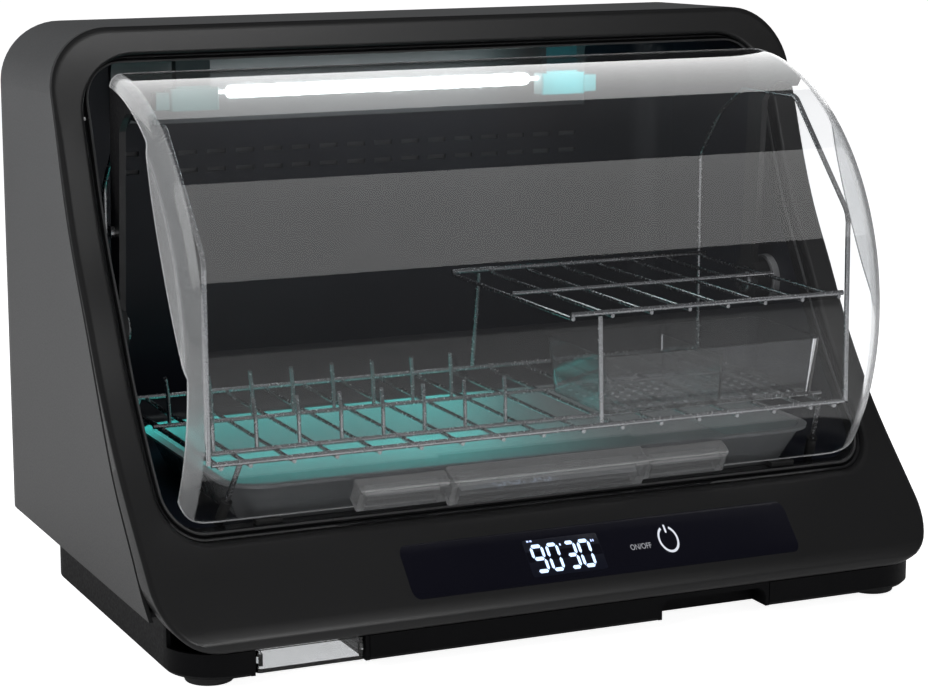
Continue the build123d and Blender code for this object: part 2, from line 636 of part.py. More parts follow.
# cutlery tray: clear, open top, one divider, drilled floor
CT_Z0 = RACK_Z + 2.0
ct = loft_rr(50, -108, 196, -34, CT_Z0, 5, 46, -112, 200, -30, CT_Z0 + 36.0, 7)
ct_in = loft_rr(52, -106, 194, -36, CT_Z0 + 2.0, 4, 48, -110, 198, -32, CT_Z0 + 36.01, 6)
ct = ct - ct_in
ct = ct + bx(128, 129.6, -108, -34, CT_Z0 + 1.5, CT_Z0 + 30.0)
holes = []
for i in range(16):
    for j in range(7):
        hx = 60.0 + i * 8.2
        if abs(hx - 128.8) > 3.5:
            holes.append(cylz(hx, -99.0 + j * 9.4, CT_Z0 - 1, CT_Z0 + 3, 1.7))
ct = ct - holes
put("cutlery_tray", ct)

# =============================================================== plinth and base
pl = bx(-PL_HW, PL_HW, PL_Y0, PL_Y1, Z_PLINTH, Z_SHELL)
ve = pl.edges().filter_by(Axis.Z)
pl = fillet([e for e in ve if e.center().Y < 0], 31.0)
pl = fillet([e for e in pl.edges().filter_by(Axis.Z) if e.center().Y > 60 and abs(e.center().X) > 200], 45.0)
pl = chamfer([e for e in pl.edges() if abs(e.center().Z - Z_PLINTH) < 0.01], 2.0)
pin_ = bx(-PL_HW + 2.5, PL_HW - 2.5, PL_Y0 + 2.5, PL_Y1 - 2.5, Z_PLINTH + 2.5, Z_SHELL + 5)
pin_ = fillet([e for e in pin_.edges().filter_by(Axis.Z) if e.center().Y < 0], 28.5)
pin_ = fillet([e for e in pin_.edges().filter_by(Axis.Z) if e.center().Y > 60 and abs(e.center().X) > 200], 42.5)
pl = pl - pin_
# two inserts let into it, both open in front and below: the drawer bay with its
# own walls and roof, and a shallow recess on the right
bay_w = bx(DRAWER_X0 - 2.5, DRAWER_X1 + 2.5, PL_Y0 + 0.5, -52.0, Z_PLINTH + 0.3, 25.0)
bay_c = bx(DRAWER_X0, DRAWER_X1, PL_Y0 - 10, -54.5, Z_PLINTH - 5, 22.5)
bay2_w = bx(BAY_X0 - 2.5, BAY_X1 + 2.5, PL_Y0 + 0.5, -151.5, Z_PLINTH + 0.3, 25.0)
bay2_c = bx(BAY_X0, BAY_X1, PL_Y0 - 10, -154.0, Z_PLINTH - 5, 18.0)
bay2_c = fillet([e for e in bay2_c.edges() if e.bounding_box().size.Y > 20 and e.center().Z > 10], 6.0)
over_chin = bx(-300, 300, -300, -144.2, Z_CHIN - 0.1, 60)
bay = ((bay_w - bay_c) - over_chin) - cylz(DRX, DRY, 20, 40, 6.0)
recess2 = (bay2_w - bay2_c) - over_chin
put("base_bays", [bay, recess2])
pl = pl - bx(DRAWER_X0 - 2.55, DRAWER_X1 + 2.55, PL_Y0 - 10, -51.95, Z_PLINTH - 5, 25.05)
pl = pl - bx(BAY_X0 - 2.55, BAY_X1 + 2.55, PL_Y0 - 10, -151.45, Z_PLINTH - 5, 25.05)
# the chin of the front frame sits on the front of the plinth
pl = pl - over_chin
# air intake slots below the fan, and screw bosses' holes over the feet
for i in range(-3, 4):
    pl = pl - rbox(FAN_X - 26, FAN_X + 26, FAN_Y + i * 8 - 1.8, FAN_Y + i * 8 + 1.8, 0, 12, 1.7)
FEET = [(-218.0, -146.0), (218.0, -146.0), (-212.0, 72.0), (212.0, 72.0)]
for fx, fy in FEET:
    pl = pl + cylz(fx, fy, Z_PLINTH + 2.0, Z_PLINTH + 12.0, 5.5)
for fx, fy in FEET:
    pl = pl - cylz(fx, fy, 0, Z_PLINTH + 13.0, 1.9)
put("base_plinth", pl)

feet, fscr = [], []
for fx, fy in FEET:
    f = cylz(fx, fy, 0, Z_PLINTH, FOOT_R)
    f = fillet([e for e in f.edges() if e.center().Z < 0.1], 1.5)
    f = f - cylz(fx, fy, -1, 2.6, 4.2) - cylz(fx, fy, 0, 10, 1.9)
    feet.append(f)
    s = cylz(fx, fy, 1.0, 2.6, 3.4) + cylz(fx, fy, 2.6, 16.0, 1.8)
    fscr.append(s)
put("rubber_feet", feet)
put("foot_screws", fscr)

# bottom pan closes the wrap round the plinth
pan = (wrap_block(T_SHELL + 0.1, Z_SHELL, R_SHELL - T_SHELL - 0.1) & behind_seam(9.0)) & bx(-300, 300, -300, 300, Z_SHELL + 0.05, Z_SHELL + 2.55)
pan = pan - rbox(-PL_HW + 8, PL_HW - 8, -127, PL_Y1 - 10, 30, 50, 20)
for fx, fy in ((-228, 140), (228, 140), (0, 150), (-120, 150), (120, 150)):
    pan = pan - cylz(fx, fy, 30, 45, 2.0)
pan = pan - bx(FAN_X + 1.5, FAN_X + 50.5, 60, 101.5, 30, 50)
put("bottom_pan", pan)

# water drawer: shallow clear box, open at the top
wd = rbox(DRAWER_X0 + 0.8, DRAWER_X1 - 0.8, PL_Y0 + 0.2, -60.0, 7.5, 20.5, 2.5)
wd = wd - rbox(DRAWER_X0 + 2.8, DRAWER_X1 - 2.8, PL_Y0 + 2.2, -62.0, 9.5, 40.0, 1.5)
# grooves in the outer sides that run on the rails
wd = wd + [bx(DRAWER_X0 + 2.0, DRAWER_X0 + 4.6, PL_Y0 + 2.0, -60.5, 11.0, 18.0),
           bx(DRAWER_X1 - 4.6, DRAWER_X1 - 2.0, PL_Y0 + 2.0, -60.5, 11.0, 18.0)]
wd = wd - [bx(DRAWER_X0 - 5, DRAWER_X0 + 3.0, PL_Y0 + 3.4, -50, 12.6, 16.4),
           bx(DRAWER_X1 - 3.0, DRAWER_X1 + 5, PL_Y0 + 3.4, -50, 12.6, 16.4)]
put("water_drawer", wd)
rails = [bx(DRAWER_X0 + 0.02, DRAWER_X0 + 2.5, PL_Y0 + 4.0, -56.0, 13.0, 16.0),
         bx(DRAWER_X1 - 2.5, DRAWER_X1 - 0.02, PL_Y0 + 4.0, -56.0, 13.0, 16.0)]
put("drawer_rails", rails)

# drain spout from the chamber floor to the drawer
sp = cylz(DRX, DRY, 22.8, 74.4, 5.5) + cylz(DRX, DRY, 71.5, 74.4, 11.0)
sp = sp - cylz(DRX, DRY, 20, 80, 3.6)
put("drain_spout", sp)

# ================================================================ works in the base
# blower: round casing, rotor on the motor shaft, outlet towards the back
bh = cylz(FAN_X, FAN_Y, 10.0, 50.0, 50.0)
bh = bh + bx(FAN_X + 2.0, FAN_X + 50.0, FAN_Y, 46.0, 10.0, 50.0)
bh_in = cylz(FAN_X, FAN_Y, 12.0, 48.0, 48.0) + bx(FAN_X + 4.0, FAN_X + 48.0, FAN_Y, 60.0, 12.0, 48.0)
bh = bh - bh_in - cylz(FAN_X, FAN_Y, 5, 15, 28.0) - cylz(FAN_X, FAN_Y, 45, 55, 8.0)
put("blower_housing", bh)
rot = [cylz(FAN_X, FAN_Y, 41.0, 43.0, 40.0) - cylz(FAN_X, FAN_Y, 40, 44, 2.4),
       cylz(FAN_X, FAN_Y, 15.5, 17.5, 40.0) - cylz(FAN_X, FAN_Y, 10, 20, 30.0),
       cylz(FAN_X, FAN_Y, 33.0, 43.0, 6.0)]
for i in range(24):
    b = Pos(35.0, 0, 0) * Rot(0, 0, 28) * Box(9.5, 1.2, 25.0)
    rot.append(Pos(FAN_X, FAN_Y, 29.2) * Rot(0, 0, i * 15.0) * b)
rot.append(cylz(FAN_X, FAN_Y, 33.0, 66.0, 2.5))
put("fan_rotor", fuse(rot))
mt = cylz(FAN_X, FAN_Y, 50.05, 68.0, 22.0)
mt = fillet([e for e in mt.edges() if e.center().Z > 67], 3.0)
mt = mt + cylz(FAN_X, FAN_Y, 46.0, 50.1, 7.5)
mt = mt - cylz(FAN_X, FAN_Y, 40, 66.6, 2.55)
put("blower_motor", mt)

# heater duct: from the blower outlet, up to the floor grille
du = bx(FAN_X + 2.0, FAN_X + 50.0, 46.1, 101.0, 10.0, 50.0) + bx(GR[0] - 2, FAN_X + 50.0, GR[2] - 2, GR[3] + 2, 46.0, 74.4)
du_in = bx(FAN_X + 4.0, FAN_X + 48.0, 40.0, 99.0, 12.0, 48.0) + bx(GR[0], FAN_X + 48.0, GR[2], GR[3] - 1, 48.0, 80.0)
du_in = du_in + bx(FAN_X + 4.0, FAN_X + 48.0, GR[2], 99.0, 12.0, 60.0)
du = du - du_in
put("heater_duct", du)
# heater element: frame with fins
he = [bx(FAN_X + 5.0, FAN_X + 47.0, 52.0, 62.0, 13.0, 15.5), bx(FAN_X + 5.0, FAN_X + 47.0, 52.0, 62.0, 44.5, 47.0)]
for i in range(10):
    he.append(bx(FAN_X + 6.0 + i * 4.4, FAN_X + 6.6 + i * 4.4, 52.5, 61.5, 15.0, 45.0))
he.append(bx(FAN_X + 5.0, FAN_X + 47.0, 56.0, 58.0, 28.5, 31.5))
put("heater_element", fuse(he))
# thermal cut-out on the side of the duct
tc = cylx(FAN_X + 50.05, FAN_X + 57.0, 80.0, 36.0, 8.0)
tc = tc + bx(FAN_X + 50.05, FAN_X + 51.5, 68.0, 92.0, 33.0, 39.0)
put("thermal_cutout", tc)

# filter over the intake slots
flt = rbox(FAN_X - 32, FAN_X + 32, FAN_Y - 30, FAN_Y + 30, Z_PLINTH + 2.55, Z_PLINTH + 3.95, 4)
put("intake_filter", flt)

# boards
pb = bx(-105, -8, -20, 80, 15.0, 16.6)
put("power_board", pb)
st = []
for x in (-100, -13):
    for y in (-15, 75):
        st.append(cylz(x, y, Z_PLINTH + 2.5, 15.0, 3.0))
put("board_standoffs", st)
cp = [bx(-96, -66, 40, 70, 16.65, 42.0), cylz(-50, 60, 16.65, 36, 8.0), cylz(-30, 60, 16.65, 32, 6.0),
      bx(-60, -42, 10, 25, 16.65, 32.0), bx(-34, -16, 10, 25, 16.65, 32.0), bx(-96, -72, -10, 0, 16.65, 28.0)]
put("board_components", cp)
ub = rbox(150, 222, 20, 50, Z_PLINTH + 2.55, 34.0, 2)
put("uv_ballast", ub)
tb = bx(-170, -140, 60, 76, Z_PLINTH + 2.55, 24.0)
tb = tb - [cylz(-163 + i * 8, 68, 18, 25, 2.2) for i in range(3)]
put("terminal_block", tb)

# display module and control board, parallel to the slanting chin
s45 = math.sqrt(0.5)


def chin_plane(x, y, z):
    return Plane(origin=(x, y, z), x_dir=(1, 0, 0), z_dir=(0, -s45, s45))


pc = chin_plane(1.0, -153.6 + 8.2 * s45, 48.8 - 8.2 * s45)
dm = pc * Box(46, 15.0, 7.0)
put("display_module", dm)
pb2 = chin_plane(27.0, -153.6 + 13.0 * s45, 48.8 - 13.0 * s45)
cb = pb2 * Box(180, 26, 1.6)
put("control_board", cb)
tp = chin_plane(70.0, -153.0 + 8.2 * s45, 49.6 - 8.2 * s45) * Cylinder(5.0, 6.6)
put("touch_pad", tp)

# reed switch on the chamber wall, level with the magnet when the lid is shut
rs = bx(-240.5, -234.03, 5.0, 27.0, mg_z - 4, mg_z + 4)
put("reed_switch", rs)

# cord gland in the rear cover
GLX, GLZ = 165.0, 64.0
gl = cyly(GLX, 158.0, 172.5, GLZ, 8.0) - cyly(GLX, 150, 180, GLZ, 4.0)
put("cord_gland", gl)
NODES["rear_cover"] = solids_of(NODES["rear_cover"][0] - cyly(GLX, 160, 180, GLZ, 8.02))

# soft stops that the lid's lower edge comes down on
bp = []
for x in (-170.0, 170.0):
    bp.append(bx(x - 8, x + 8, -117.0, -111.0, 77.52, 80.25))
put("lid_bumpers", bp)

# ========================================================================= output
os.makedirs("parts", exist_ok=True)
for name, ss in NODES.items():
    shape = ss[0] if len(ss) == 1 else Compound(children=[s for s in ss])
    export_step(shape, "parts/" + name + ".step")
print(len(NODES), "nodes")
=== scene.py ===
import json
import math

import bmesh
import bpy
import numpy as np
from mathutils import Matrix, Vector


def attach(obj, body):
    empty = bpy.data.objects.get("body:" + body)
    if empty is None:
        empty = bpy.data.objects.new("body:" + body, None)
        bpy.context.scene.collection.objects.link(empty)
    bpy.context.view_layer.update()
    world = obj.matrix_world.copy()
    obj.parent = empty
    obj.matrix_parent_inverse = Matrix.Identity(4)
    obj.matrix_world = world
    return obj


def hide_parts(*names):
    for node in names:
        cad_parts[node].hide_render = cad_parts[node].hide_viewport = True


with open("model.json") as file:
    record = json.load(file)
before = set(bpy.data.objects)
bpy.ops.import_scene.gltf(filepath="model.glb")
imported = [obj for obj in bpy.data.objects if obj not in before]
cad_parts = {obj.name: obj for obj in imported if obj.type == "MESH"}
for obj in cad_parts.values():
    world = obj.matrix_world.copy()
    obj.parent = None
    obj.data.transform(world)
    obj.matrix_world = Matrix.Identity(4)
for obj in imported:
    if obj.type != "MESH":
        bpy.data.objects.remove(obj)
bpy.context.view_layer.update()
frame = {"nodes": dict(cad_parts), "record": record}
NODES = frame["nodes"]
MM = 0.001

# ------------------------------------------------------------------ sizes, mm
HW, Z_TOP, Z_CHIN = 251.5, 351.2, 21.1
R_SHELL, R_CHIN = 38.0, 35.0
OPEN_HW, OPEN_Z0, OPEN_Z1, OPEN_RT, OPEN_RB = 234.0, 72.5, 334.5, 35.0, 25.0
PIV_Y, PIV_Z, LID_R, LID_T, LID_HW = 10.7, 172.3, 154.2, 2.2, 226.0
LID_TH0, LID_TH1 = 2.0, 126.5
FACE = [(32.6, 351.2), (28.5, 335.5), (21.5, 315.5), (13.1, 295.5), (-4.0, 252.3), (-20.5, 218.1),
        (-37.9, 190.0), (-60.3, 152.5), (-80.8, 124.5), (-93.3, 109.3), (-124.3, 77.4), (-147.0, 55.2), (-169.0, 33.0)]
SEAM = [(39.0, 351.5), (34.0, 335.0), (27.0, 316.0), (19.6, 297.0), (5.2, 256.0), (-10.0, 223.5), (-30.0, 189.5),
        (-50.5, 153.0), (-69.0, 120.0), (-85.5, 96.0), (-111.5, 67.5), (-128.5, 48.5), (-144.0, 35.5)]


def natural(points):
    """Natural cubic y(z) through the points."""
    pts = sorted((z, y) for y, z in points)
    x = np.array([p[0] for p in pts])
    y = np.array([p[1] for p in pts])
    n = len(x)
    h = np.diff(x)
    a = np.zeros((n, n))
    b = np.zeros(n)
    a[0, 0] = a[-1, -1] = 1
    for i in range(1, n - 1):
        a[i, i - 1], a[i, i], a[i, i + 1] = h[i - 1], 2 * (h[i - 1] + h[i]), h[i]
        b[i] = 3 * ((y[i + 1] - y[i]) / h[i] - (y[i] - y[i - 1]) / h[i - 1])
    c = np.linalg.solve(a, b)

    def f(z):
        i = int(np.clip(np.searchsorted(x, z) - 1, 0, n - 2))
        t = z - x[i]
        bb = (y[i + 1] - y[i]) / h[i] - h[i] * (2 * c[i] + c[i + 1]) / 3
        d = (c[i + 1] - c[i]) / (3 * h[i])
        return float(y[i] + bb * t + c[i] * t * t + d * t * t * t)
    return f


_face, _seam = natural(FACE), natural(SEAM)


def face_y(z):
    if z >= 33.0:
        return _face(z)
    if z >= 27.5:
        return -172.5 + (z - 27.5) / 5.5 * 3.5
    return -172.5


def seam_y(z):
    if z >= 35.5:
        return _seam(z)
    return -144.0 - (35.5 - z) * 10.0 / 55.5


# ================================================================== materials


def newmat(name):
    m = bpy.data.materials.new(name)
    m.use_nodes = True
    nt = m.node_tree
    nt.nodes.clear()
    out = nt.nodes.new("ShaderNodeOutputMaterial")
    p = nt.nodes.new("ShaderNodeBsdfPrincipled")
    nt.links.new(p.outputs[0], out.inputs[0])
    return m, nt, p


def noise(nt, scale, detail=3.0, rough=0.5, stretch=None):
    tc = nt.nodes.new("ShaderNodeTexCoord")
    n = nt.nodes.new("ShaderNodeTexNoise")
    n.inputs["Scale"].default_value = scale
    n.inputs["Detail"].default_value = detail
    n.inputs["Roughness"].default_value = rough
    if stretch:
        mp = nt.nodes.new("ShaderNodeMapping")
        mp.inputs["Scale"].default_value = stretch
        nt.links.new(tc.outputs["Object"], mp.inputs["Vector"])
        nt.links.new(mp.outputs[0], n.inputs["Vector"])
    else:
        nt.links.new(tc.outputs["Object"], n.inputs["Vector"])
    return n


def maprange(nt, src, lo, hi, f0=0.3, f1=0.7):
    r = nt.nodes.new("ShaderNodeMapRange")
    r.inputs["From Min"].default_value = f0
    r.inputs["From Max"].default_value = f1
    r.inputs["To Min"].default_value = lo
    r.inputs["To Max"].default_value = hi
    nt.links.new(src, r.inputs["Value"])
    return r.outputs[0]


def solid(name, col, rough=0.4, metal=0.0, vary=0.12, rvary=0.06, scale=60.0, fine=900.0, bump=0.02, dist=0.0002,
          coat=0.0, coat_rough=0.1, spec=0.5, stretch=None, sheen=0.0):
    """Moulded or painted surface: slow colour drift, uneven gloss and a fine grain."""
    m, nt, p = newmat(name)
    n1 = noise(nt, scale, 3.0, stretch=stretch)
    mix = nt.nodes.new("ShaderNodeMix")
    mix.data_type = "RGBA"
    mix.inputs["A"].default_value = (*[c * (1 - vary) for c in col], 1)
    mix.inputs["B"].default_value = (*[min(1, c * (1 + vary)) for c in col], 1)
    nt.links.new(maprange(nt, n1.outputs["Fac"], 0, 1), mix.inputs["Factor"])
    nt.links.new(mix.outputs["Result"], p.inputs["Base Color"])
    n2 = noise(nt, fine * 0.35, 2.0, stretch=stretch)
    nt.links.new(maprange(nt, n2.outputs["Fac"], max(0.02, rough - rvary), min(1, rough + rvary)), p.inputs["Roughness"])
    n3 = noise(nt, fine, 2.0, stretch=stretch)
    b = nt.nodes.new("ShaderNodeBump")
    b.inputs["Strength"].default_value = bump
    b.inputs["Distance"].default_value = dist
    nt.links.new(n3.outputs["Fac"], b.inputs["Height"])
    nt.links.new(b.outputs[0], p.inputs["Normal"])
    p.inputs["Metallic"].default_value = metal
    p.inputs["Specular IOR Level"].default_value = spec
    p.inputs["Coat Weight"].default_value = coat
    p.inputs["Coat Roughness"].default_value = coat_rough
    p.inputs["Sheen Weight"].default_value = sheen
    return m


def clear(name, col, trans, rough=0.03, ior=1.46, rvary=0.02, scale=25.0, spec=0.5):
    """Clear or smoky plastic sheet: mostly lets light through, with a faint haze that is never quite even."""
    m, nt, p = newmat(name)
    n1 = noise(nt, scale, 2.0)
    mix = nt.nodes.new("ShaderNodeMix")
    mix.data_type = "RGBA"
    mix.inputs["A"].default_value = (*[c * 0.96 for c in col], 1)
    mix.inputs["B"].default_value = (*[min(1, c * 1.03) for c in col], 1)
    nt.links.new(maprange(nt, n1.outputs["Fac"], 0, 1), mix.inputs["Factor"])
    nt.links.new(mix.outputs["Result"], p.inputs["Base Color"])
    n2 = noise(nt, scale * 8, 3.0)
    nt.links.new(maprange(nt, n2.outputs["Fac"], max(0.0, rough - rvary), rough + rvary), p.inputs["Roughness"])
    p.inputs["Transmission Weight"].default_value = trans
    p.inputs["IOR"].default_value = ior
    p.inputs["Specular IOR Level"].default_value = spec
    return m


def glow(name, col, strength, base=(0.9, 0.95, 1.0)):
    m, nt, p = newmat(name)
    n1 = noise(nt, 40.0, 2.0)
    mix = nt.nodes.new("ShaderNodeMix")
    mix.data_type = "RGBA"
    mix.inputs["A"].default_value = (*[c * 0.93 for c in col], 1)
    mix.inputs["B"].default_value = (*col, 1)
    nt.links.new(maprange(nt, n1.outputs["Fac"], 0, 1), mix.inputs["Factor"])
    nt.links.new(mix.outputs["Result"], p.inputs["Emission Color"])
    p.inputs["Emission Strength"].default_value = strength
    p.inputs["Base Color"].default_value = (*base, 1)
    p.inputs["Roughness"].default_value = 0.25
    return m


M = {}
M["shell"] = solid("shell_paint", (0.105, 0.107, 0.109), 0.42, vary=0.04, rvary=0.04, scale=9.0, fine=2600.0, bump=0.05, dist=0.0001)


def painted_foot_shade(m, low, z0, z1):
    """Painted shade: base colour darkened towards the foot of a wall."""
    nt = m.node_tree
    p = next(n for n in nt.nodes if n.type == "BSDF_PRINCIPLED")
    old = p.inputs["Base Color"].links[0].from_socket
    geo = nt.nodes.new("ShaderNodeNewGeometry")
    sep = nt.nodes.new("ShaderNodeSeparateXYZ")
    nt.links.new(geo.outputs["Position"], sep.inputs[0])
    w = nt.nodes.new("ShaderNodeMapRange")
    w.inputs["From Min"].default_value = z0
    w.inputs["From Max"].default_value = z1
    nt.links.new(sep.outputs["Z"], w.inputs["Value"])
    tint = nt.nodes.new("ShaderNodeMix")
    tint.data_type = "RGBA"
    tint.inputs["A"].default_value = (low, low, low, 1)
    tint.inputs["B"].default_value = (1, 1, 1, 1)
    nt.links.new(w.outputs[0], tint.inputs["Factor"])
    mix = nt.nodes.new("ShaderNodeMix")
    mix.data_type = "RGBA"
    mix.blend_type = "MULTIPLY"
    mix.inputs["Factor"].default_value = 1.0
    nt.links.new(old, mix.inputs["A"])
    nt.links.new(tint.outputs["Result"], mix.inputs["B"])
    nt.links.new(mix.outputs["Result"], p.inputs["Base Color"])


# Painted shade: the shell's colour falls to 0.16 of itself at the bottom, for the shade towards its foot.
painted_foot_shade(M["shell"], 0.16, 0.03, 0.30)
M["cover"] = solid("cover_paint", (0.07, 0.071, 0.074), 0.5, vary=0.05, fine=1800.0, bump=0.08, dist=0.0001)
M["frame"] = solid("frame_satin", (0.010, 0.010, 0.0103), 0.36, spec=0.3, vary=0.06, rvary=0.04, scale=12.0, fine=2400.0, bump=0.04, dist=0.0001)
M["window"] = solid("window_gloss", (0.006, 0.006, 0.010), 0.14, spec=0.25, vary=0.1, rvary=0.02, scale=8.0, bump=0.004)
M["rim"] = solid("rim_gloss", (0.006, 0.006, 0.0065), 0.14, vary=0.1, rvary=0.03, bump=0.01)
M["seal"] = solid("seal_rubber", (0.045, 0.045, 0.046), 0.35, vary=0.1, rvary=0.08, bump=0.05)
M["liner"] = solid("liner_dark", (0.008, 0.009, 0.014), 0.30, vary=0.08, rvary=0.02, scale=9.0, fine=900.0, bump=0.008, spec=0.3)
M["black"] = solid("arm_black", (0.012, 0.012, 0.0125), 0.4, vary=0.1, rvary=0.06, fine=1400.0, bump=0.06)
M["steel"] = solid("screw_steel", (0.55, 0.55, 0.56), 0.28, metal=1.0, vary=0.08, rvary=0.08, fine=1600.0, bump=0.06)
M["grey"] = solid("bush_plastic", (0.26, 0.26, 0.265), 0.45, vary=0.06, bump=0.05)
M["magnet"] = solid("magnet_metal", (0.6, 0.6, 0.6), 0.25, metal=1.0)
M["rubber"] = solid("foot_rubber", (0.012, 0.012, 0.012), 0.6, vary=0.12, rvary=0.08, fine=900.0, bump=0.12)
M["socket"] = solid("socket_plastic", (0.30, 0.42, 0.42), 0.35, vary=0.05, bump=0.04)


def two_tone(m, low, high, z0, z1):
    """Second colour above a height, multiplied into the base colour."""
    nt = m.node_tree
    p = next(n for n in nt.nodes if n.type == "BSDF_PRINCIPLED")
    old = p.inputs["Base Color"].links[0].from_socket
    geo = nt.nodes.new("ShaderNodeNewGeometry")
    sep = nt.nodes.new("ShaderNodeSeparateXYZ")
    nt.links.new(geo.outputs["Position"], sep.inputs[0])
    w = nt.nodes.new("ShaderNodeMapRange")
    w.inputs["From Min"].default_value = z0
    w.inputs["From Max"].default_value = z1
    nt.links.new(sep.outputs["Z"], w.inputs["Value"])
    mix = nt.nodes.new("ShaderNodeMix")
    mix.data_type = "RGBA"
    mix.blend_type = "MULTIPLY"
    mix.inputs["A"].default_value = (1, 1, 1, 1)
    tint = nt.nodes.new("ShaderNodeMix")
    tint.data_type = "RGBA"
    tint.inputs["A"].default_value = (*low, 1)
    tint.inputs["B"].default_value = (*high, 1)
    nt.links.new(w.outputs[0], tint.inputs["Factor"])
    mix.inputs["Factor"].default_value = 1.0
    nt.links.new(old, mix.inputs["A"])
    nt.links.new(tint.outputs["Result"], mix.inputs["B"])
    nt.links.new(mix.outputs["Result"], p.inputs["Base Color"])


# Above the socket the post is made near-black, so that it hardly shows.
two_tone(M["socket"], (1, 1, 1), (0.04, 0.04, 0.045), 0.3078, 0.3082)
M["reflector"] = solid("reflector_metal", (0.16, 0.165, 0.17), 0.42, metal=0.6, vary=0.05, rvary=0.06, stretch=(1, 30, 30), bump=0.03)
M["lead"] = solid("lead_sleeve", (0.4, 0.4, 0.4), 0.5)
M["wire"] = solid("rack_wire", (0.50, 0.50, 0.51), 0.22, metal=1.0, vary=0.12, rvary=0.08, scale=30.0, fine=1500.0, bump=0.03)
M["plinth"] = solid("base_black", (0.0025, 0.0025, 0.003), 0.5, spec=0.08, vary=0.1, fine=1600.0, bump=0.06)
M["rotor"] = solid("rotor_plastic", (0.10, 0.10, 0.11), 0.45)
M["motor"] = solid("motor_steel", (0.5, 0.5, 0.51), 0.3, metal=1.0, stretch=(20, 20, 1))
M["duct"] = solid("duct_metal", (0.6, 0.6, 0.61), 0.32, metal=1.0, stretch=(1, 20, 1))
M["part"] = solid("part_black", (0.02, 0.02, 0.02), 0.4)
M["filter"] = solid("filter_mesh", (0.14, 0.14, 0.14), 0.8, fine=2000.0, bump=0.5, dist=0.0006)
M["board"] = solid("board_green", (0.02, 0.12, 0.05), 0.35, vary=0.25, scale=200.0)
M["lid"] = clear("lid_clear", (0.90, 0.91, 0.92), 1.0, rough=0.02, ior=1.46)
M["lid_edge"] = clear("lid_edge_bright", (0.80, 0.81, 0.82), 0.72, rough=0.22, ior=1.46, rvary=0.05)
M["lid_haze"] = clear("lid_haze", (0.74, 0.75, 0.76), 0.86, rough=0.16, ior=1.46, rvary=0.04)
M["display"] = solid("display_dark", (0.009, 0.010, 0.017), 0.16, spec=0.25, vary=0.1, rvary=0.03, scale=60.0, bump=0.004)
M["marks"] = glow("mark_glow", (0.20, 0.34, 0.95), 1.0)
# Printed ON/OFF label with a faint painted glow: emission 0.22 keeps the print light whatever light falls on it.
M["label"] = glow("label_print_painted_glow", (0.55, 0.57, 0.62), 0.22, base=(0.3, 0.3, 0.32))
M["grommet"] = solid("grommet_grey", (0.55, 0.55, 0.56), 0.4)
M["handle"] = clear("handle_smoky", (0.50, 0.505, 0.51), 0.86, rough=0.07, ior=1.46)
M["box"] = clear("box_clear", (0.90, 0.91, 0.92), 1.0, rough=0.03, ior=1.46)
M["tray"] = clear("tray_smoke", (0.21, 0.215, 0.22), 0.18, rough=0.22, ior=1.46, rvary=0.03, spec=0.4)
M["tube"] = glow("lamp_glow", (0.93, 1.0, 1.0), 5.0)
M["digits"] = glow("digit_glow", (0.34, 0.58, 1.0), 0.9)
M["icon"] = glow("icon_glow", (0.62, 0.66, 0.74), 0.8, base=(0.4, 0.4, 0.42))

SLOT = {"shell_paint": "shell", "cover_paint": "cover", "screw_steel": "steel", "frame_satin": "frame", "window_gloss": "window",
        "rim_gloss": "rim", "seal_rubber": "seal", "liner_dark": "liner", "arm_black": "black", "lid_clear": "lid",
        "handle_clear": "handle", "bush_plastic": "grey", "magnet_metal": "magnet", "foot_rubber": "rubber", "lamp_glass": "tube",
        "socket_plastic": "socket", "reflector_metal": "reflector", "lead_sleeve": "lead", "tray_smoke": "tray", "rack_wire": "wire",
        "box_clear": "box", "base_black": "plinth", "rotor_plastic": "rotor", "motor_steel": "motor", "duct_metal": "duct",
        "part_black": "part", "filter_mesh": "filter", "board_green": "board"}
slot_of = {s["node"]: s["material_slot"] for s in frame["record"]["subparts"]}
for name, ob in NODES.items():
    mat = M[SLOT[slot_of[name]]]
    if not ob.data.materials:
        ob.data.materials.append(mat)
    for i in range(len(ob.material_slots)):
        ob.material_slots[i].material = mat

# ============================================================ camera and stage
cam = bpy.data.cameras.new("camera")
cam_ob = bpy.data.objects.new("camera", cam)
bpy.context.scene.collection.objects.link(cam_ob)
right = Vector((0.91045848, -0.41360048, 0.0))
up = Vector((0.07952663, 0.17506192, 0.98134033))
fwd = Vector((0.40588283, 0.89346962, -0.19227886))
rot = Matrix((right, up, -fwd)).transposed().to_4x4()
cam_ob.matrix_world = Matrix.Translation((-0.68155, -1.51139, 0.4712)) @ rot
cam.sensor_width = 36.0
cam.sensor_fit = "HORIZONTAL"
cam.lens = 103.75
cam.clip_start = 0.01
bpy.context.scene.camera = cam_ob

sc = bpy.context.scene
sc.view_settings.view_transform = "Standard"
sc.view_settings.look = "None"
sc.view_settings.exposure = 0.0
sc.view_settings.gamma = 1.0

